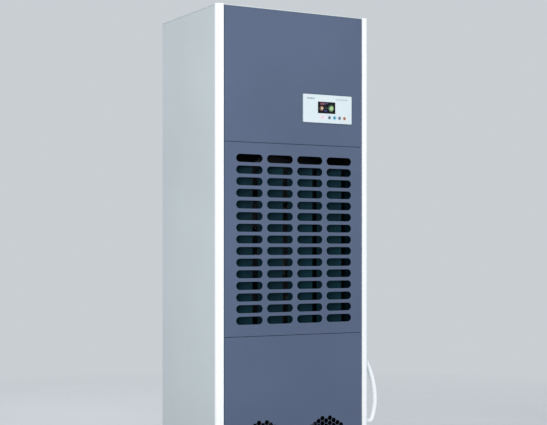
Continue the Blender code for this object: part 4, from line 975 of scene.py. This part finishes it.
def make_wheel(ending):
    """A crowned rubber tread on a grey hub with a ball race, as two pieces."""
    node = f"caster_wheel_{ending}"
    (x0, _, z0), (x1, _, z1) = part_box(node)
    centre, half, radius = middle(node), (x1 - x0) / 2, (z1 - z0) / 2
    tread = bmesh.new()
    rim = radius * 0.74
    profile = [
        (rim, -half * 0.86),
        (radius - 0.0030, -half),
        (radius - 0.0012, -half * 0.88),
        (radius - 0.0002, -half * 0.55),
        (radius, -half * 0.25),
        (radius, half * 0.25),
        (radius - 0.0002, half * 0.55),
        (radius - 0.0012, half * 0.88),
        (radius - 0.0030, half),
        (rim, half * 0.86),
    ]
    lathe(tread, profile, centre, "X", 64)
    publish(f"wheel_tread_{ending}", tread, BODY_OF[node], "tyre_rubber", node)
    hub = bmesh.new()
    profile = [
        (0.0045, -half * 0.95),
        (0.0088, -half * 0.95),
        (0.0092, -half * 0.60),
        (rim - 0.0030, -half * 0.45),
        (rim - 0.0024, -half * 0.84),
        (rim, -half * 0.84),
        (rim, half * 0.84),
        (rim - 0.0024, half * 0.84),
        (rim - 0.0030, half * 0.45),
        (0.0092, half * 0.60),
        (0.0088, half * 0.95),
        (0.0045, half * 0.95),
    ]
    lathe(hub, profile, centre, "X", 48)
    publish(f"wheel_hub_{ending}", hub, BODY_OF[node], "tyre_rubber", material=MATERIALS["pan_plastic"])


# ---------------------------------------------------------------- stage
FLOOR_RADIUS, FADE_RADIUS = 14, 12
FADE_START, FADE_END = 0.62, 0.90
LIGHT_TARGET = (0, 0, 0.9)


def make_floor():
    """A pale floor that fades into the background far from the machine."""
    bm = bmesh.new()
    bmesh.ops.create_circle(bm, cap_ends=True, segments=96, radius=FLOOR_RADIUS)
    mesh = bpy.data.meshes.new("floor")
    bm.to_mesh(mesh)
    bm.free()
    floor = bpy.data.objects.new("floor", mesh)
    bpy.context.scene.collection.objects.link(floor)
    shader = Shader("floor", 0.55)
    shader.link(shader.mottle(1.2, 4, srgb(206, 209, 212), srgb(212, 215, 218)), "Base Color")
    gradient = shader.tree.nodes.new("ShaderNodeTexGradient")
    gradient.gradient_type = "SPHERICAL"
    shader.tree.links.new(shader.stretched((1 / FADE_RADIUS,) * 3), gradient.inputs["Vector"])
    shader.link(shader.spread(gradient.outputs["Fac"], 0.0, 1.0, FADE_START, FADE_END), "Alpha")
    mesh.materials.append(shader.material)


def make_world():
    world = bpy.data.worlds.new("studio")
    world.use_nodes = True
    background = world.node_tree.nodes["Background"]
    background.inputs["Color"].default_value = srgb(206, 211, 216)
    background.inputs["Strength"].default_value = 0.95
    bpy.context.scene.world = world
    bpy.context.scene.view_settings.view_transform = "Standard"


def area_light(name, place, size, power, colour=(1, 1, 1)):
    data = bpy.data.lights.new(name, "AREA")
    data.shape = "RECTANGLE"
    data.size, data.size_y = size
    data.energy = power
    data.color = colour
    lamp = bpy.data.objects.new(name, data)
    lamp.location = place
    lamp.rotation_euler = (Vector(LIGHT_TARGET) - Vector(place)).to_track_quat("-Z", "Y").to_euler()
    bpy.context.scene.collection.objects.link(lamp)


CAMERA_YAW = 29.03
CAMERA_DISTANCE = 4.017
CAMERA_HEIGHT = 0.8645
CAMERA_SIDE = 0.1549
FOCAL_LENGTH = 82.8
FRAME_SHIFT = (0.0148, 0.0658)


def make_camera():
    """Level, looking past the left front corner from the front left, with a rising frame."""
    data = bpy.data.cameras.new("camera")
    data.lens = FOCAL_LENGTH
    data.shift_x, data.shift_y = FRAME_SHIFT
    camera = bpy.data.objects.new("camera", data)
    yaw = math.radians(CAMERA_YAW)
    right = Vector((math.cos(yaw), -math.sin(yaw), 0))
    ahead = Vector((math.sin(yaw), math.cos(yaw), 0))
    corner = Vector((CASING_LOW.x, CASING_LOW.y, 0))
    level = corner + right * CAMERA_SIDE - ahead * CAMERA_DISTANCE
    camera.location = level + Vector((0, 0, CAMERA_HEIGHT))
    camera.rotation_euler = (math.radians(90), 0, -yaw)
    bpy.context.scene.collection.objects.link(camera)
    bpy.context.scene.camera = camera


def paint_remaining_nodes():
    """CAD nodes that keep their own shape take the finished material of their slot."""
    for node, obj in NODES.items():
        for holder in obj.material_slots:
            holder.material = MATERIALS[SLOT_OF[node]]


make_front()
make_posts()
make_casing()
make_handle()
make_bezel()
make_keys()
make_display()
make_markings()
make_back()
make_screws()
make_fittings()
make_inside()
make_casters()
paint_remaining_nodes()
make_floor()
make_world()
area_light("key", (2.4, -4.4, 2.9), (1.8, 1.8), 14, (1.0, 0.985, 0.96))
area_light("fill", (-2.3, -3.6, 1.9), (2.0, 2.2), 100, (0.985, 0.99, 1.0))
area_light("back", (0.5, 3.4, 2.6), (2.2, 2.0), 36)
make_camera()
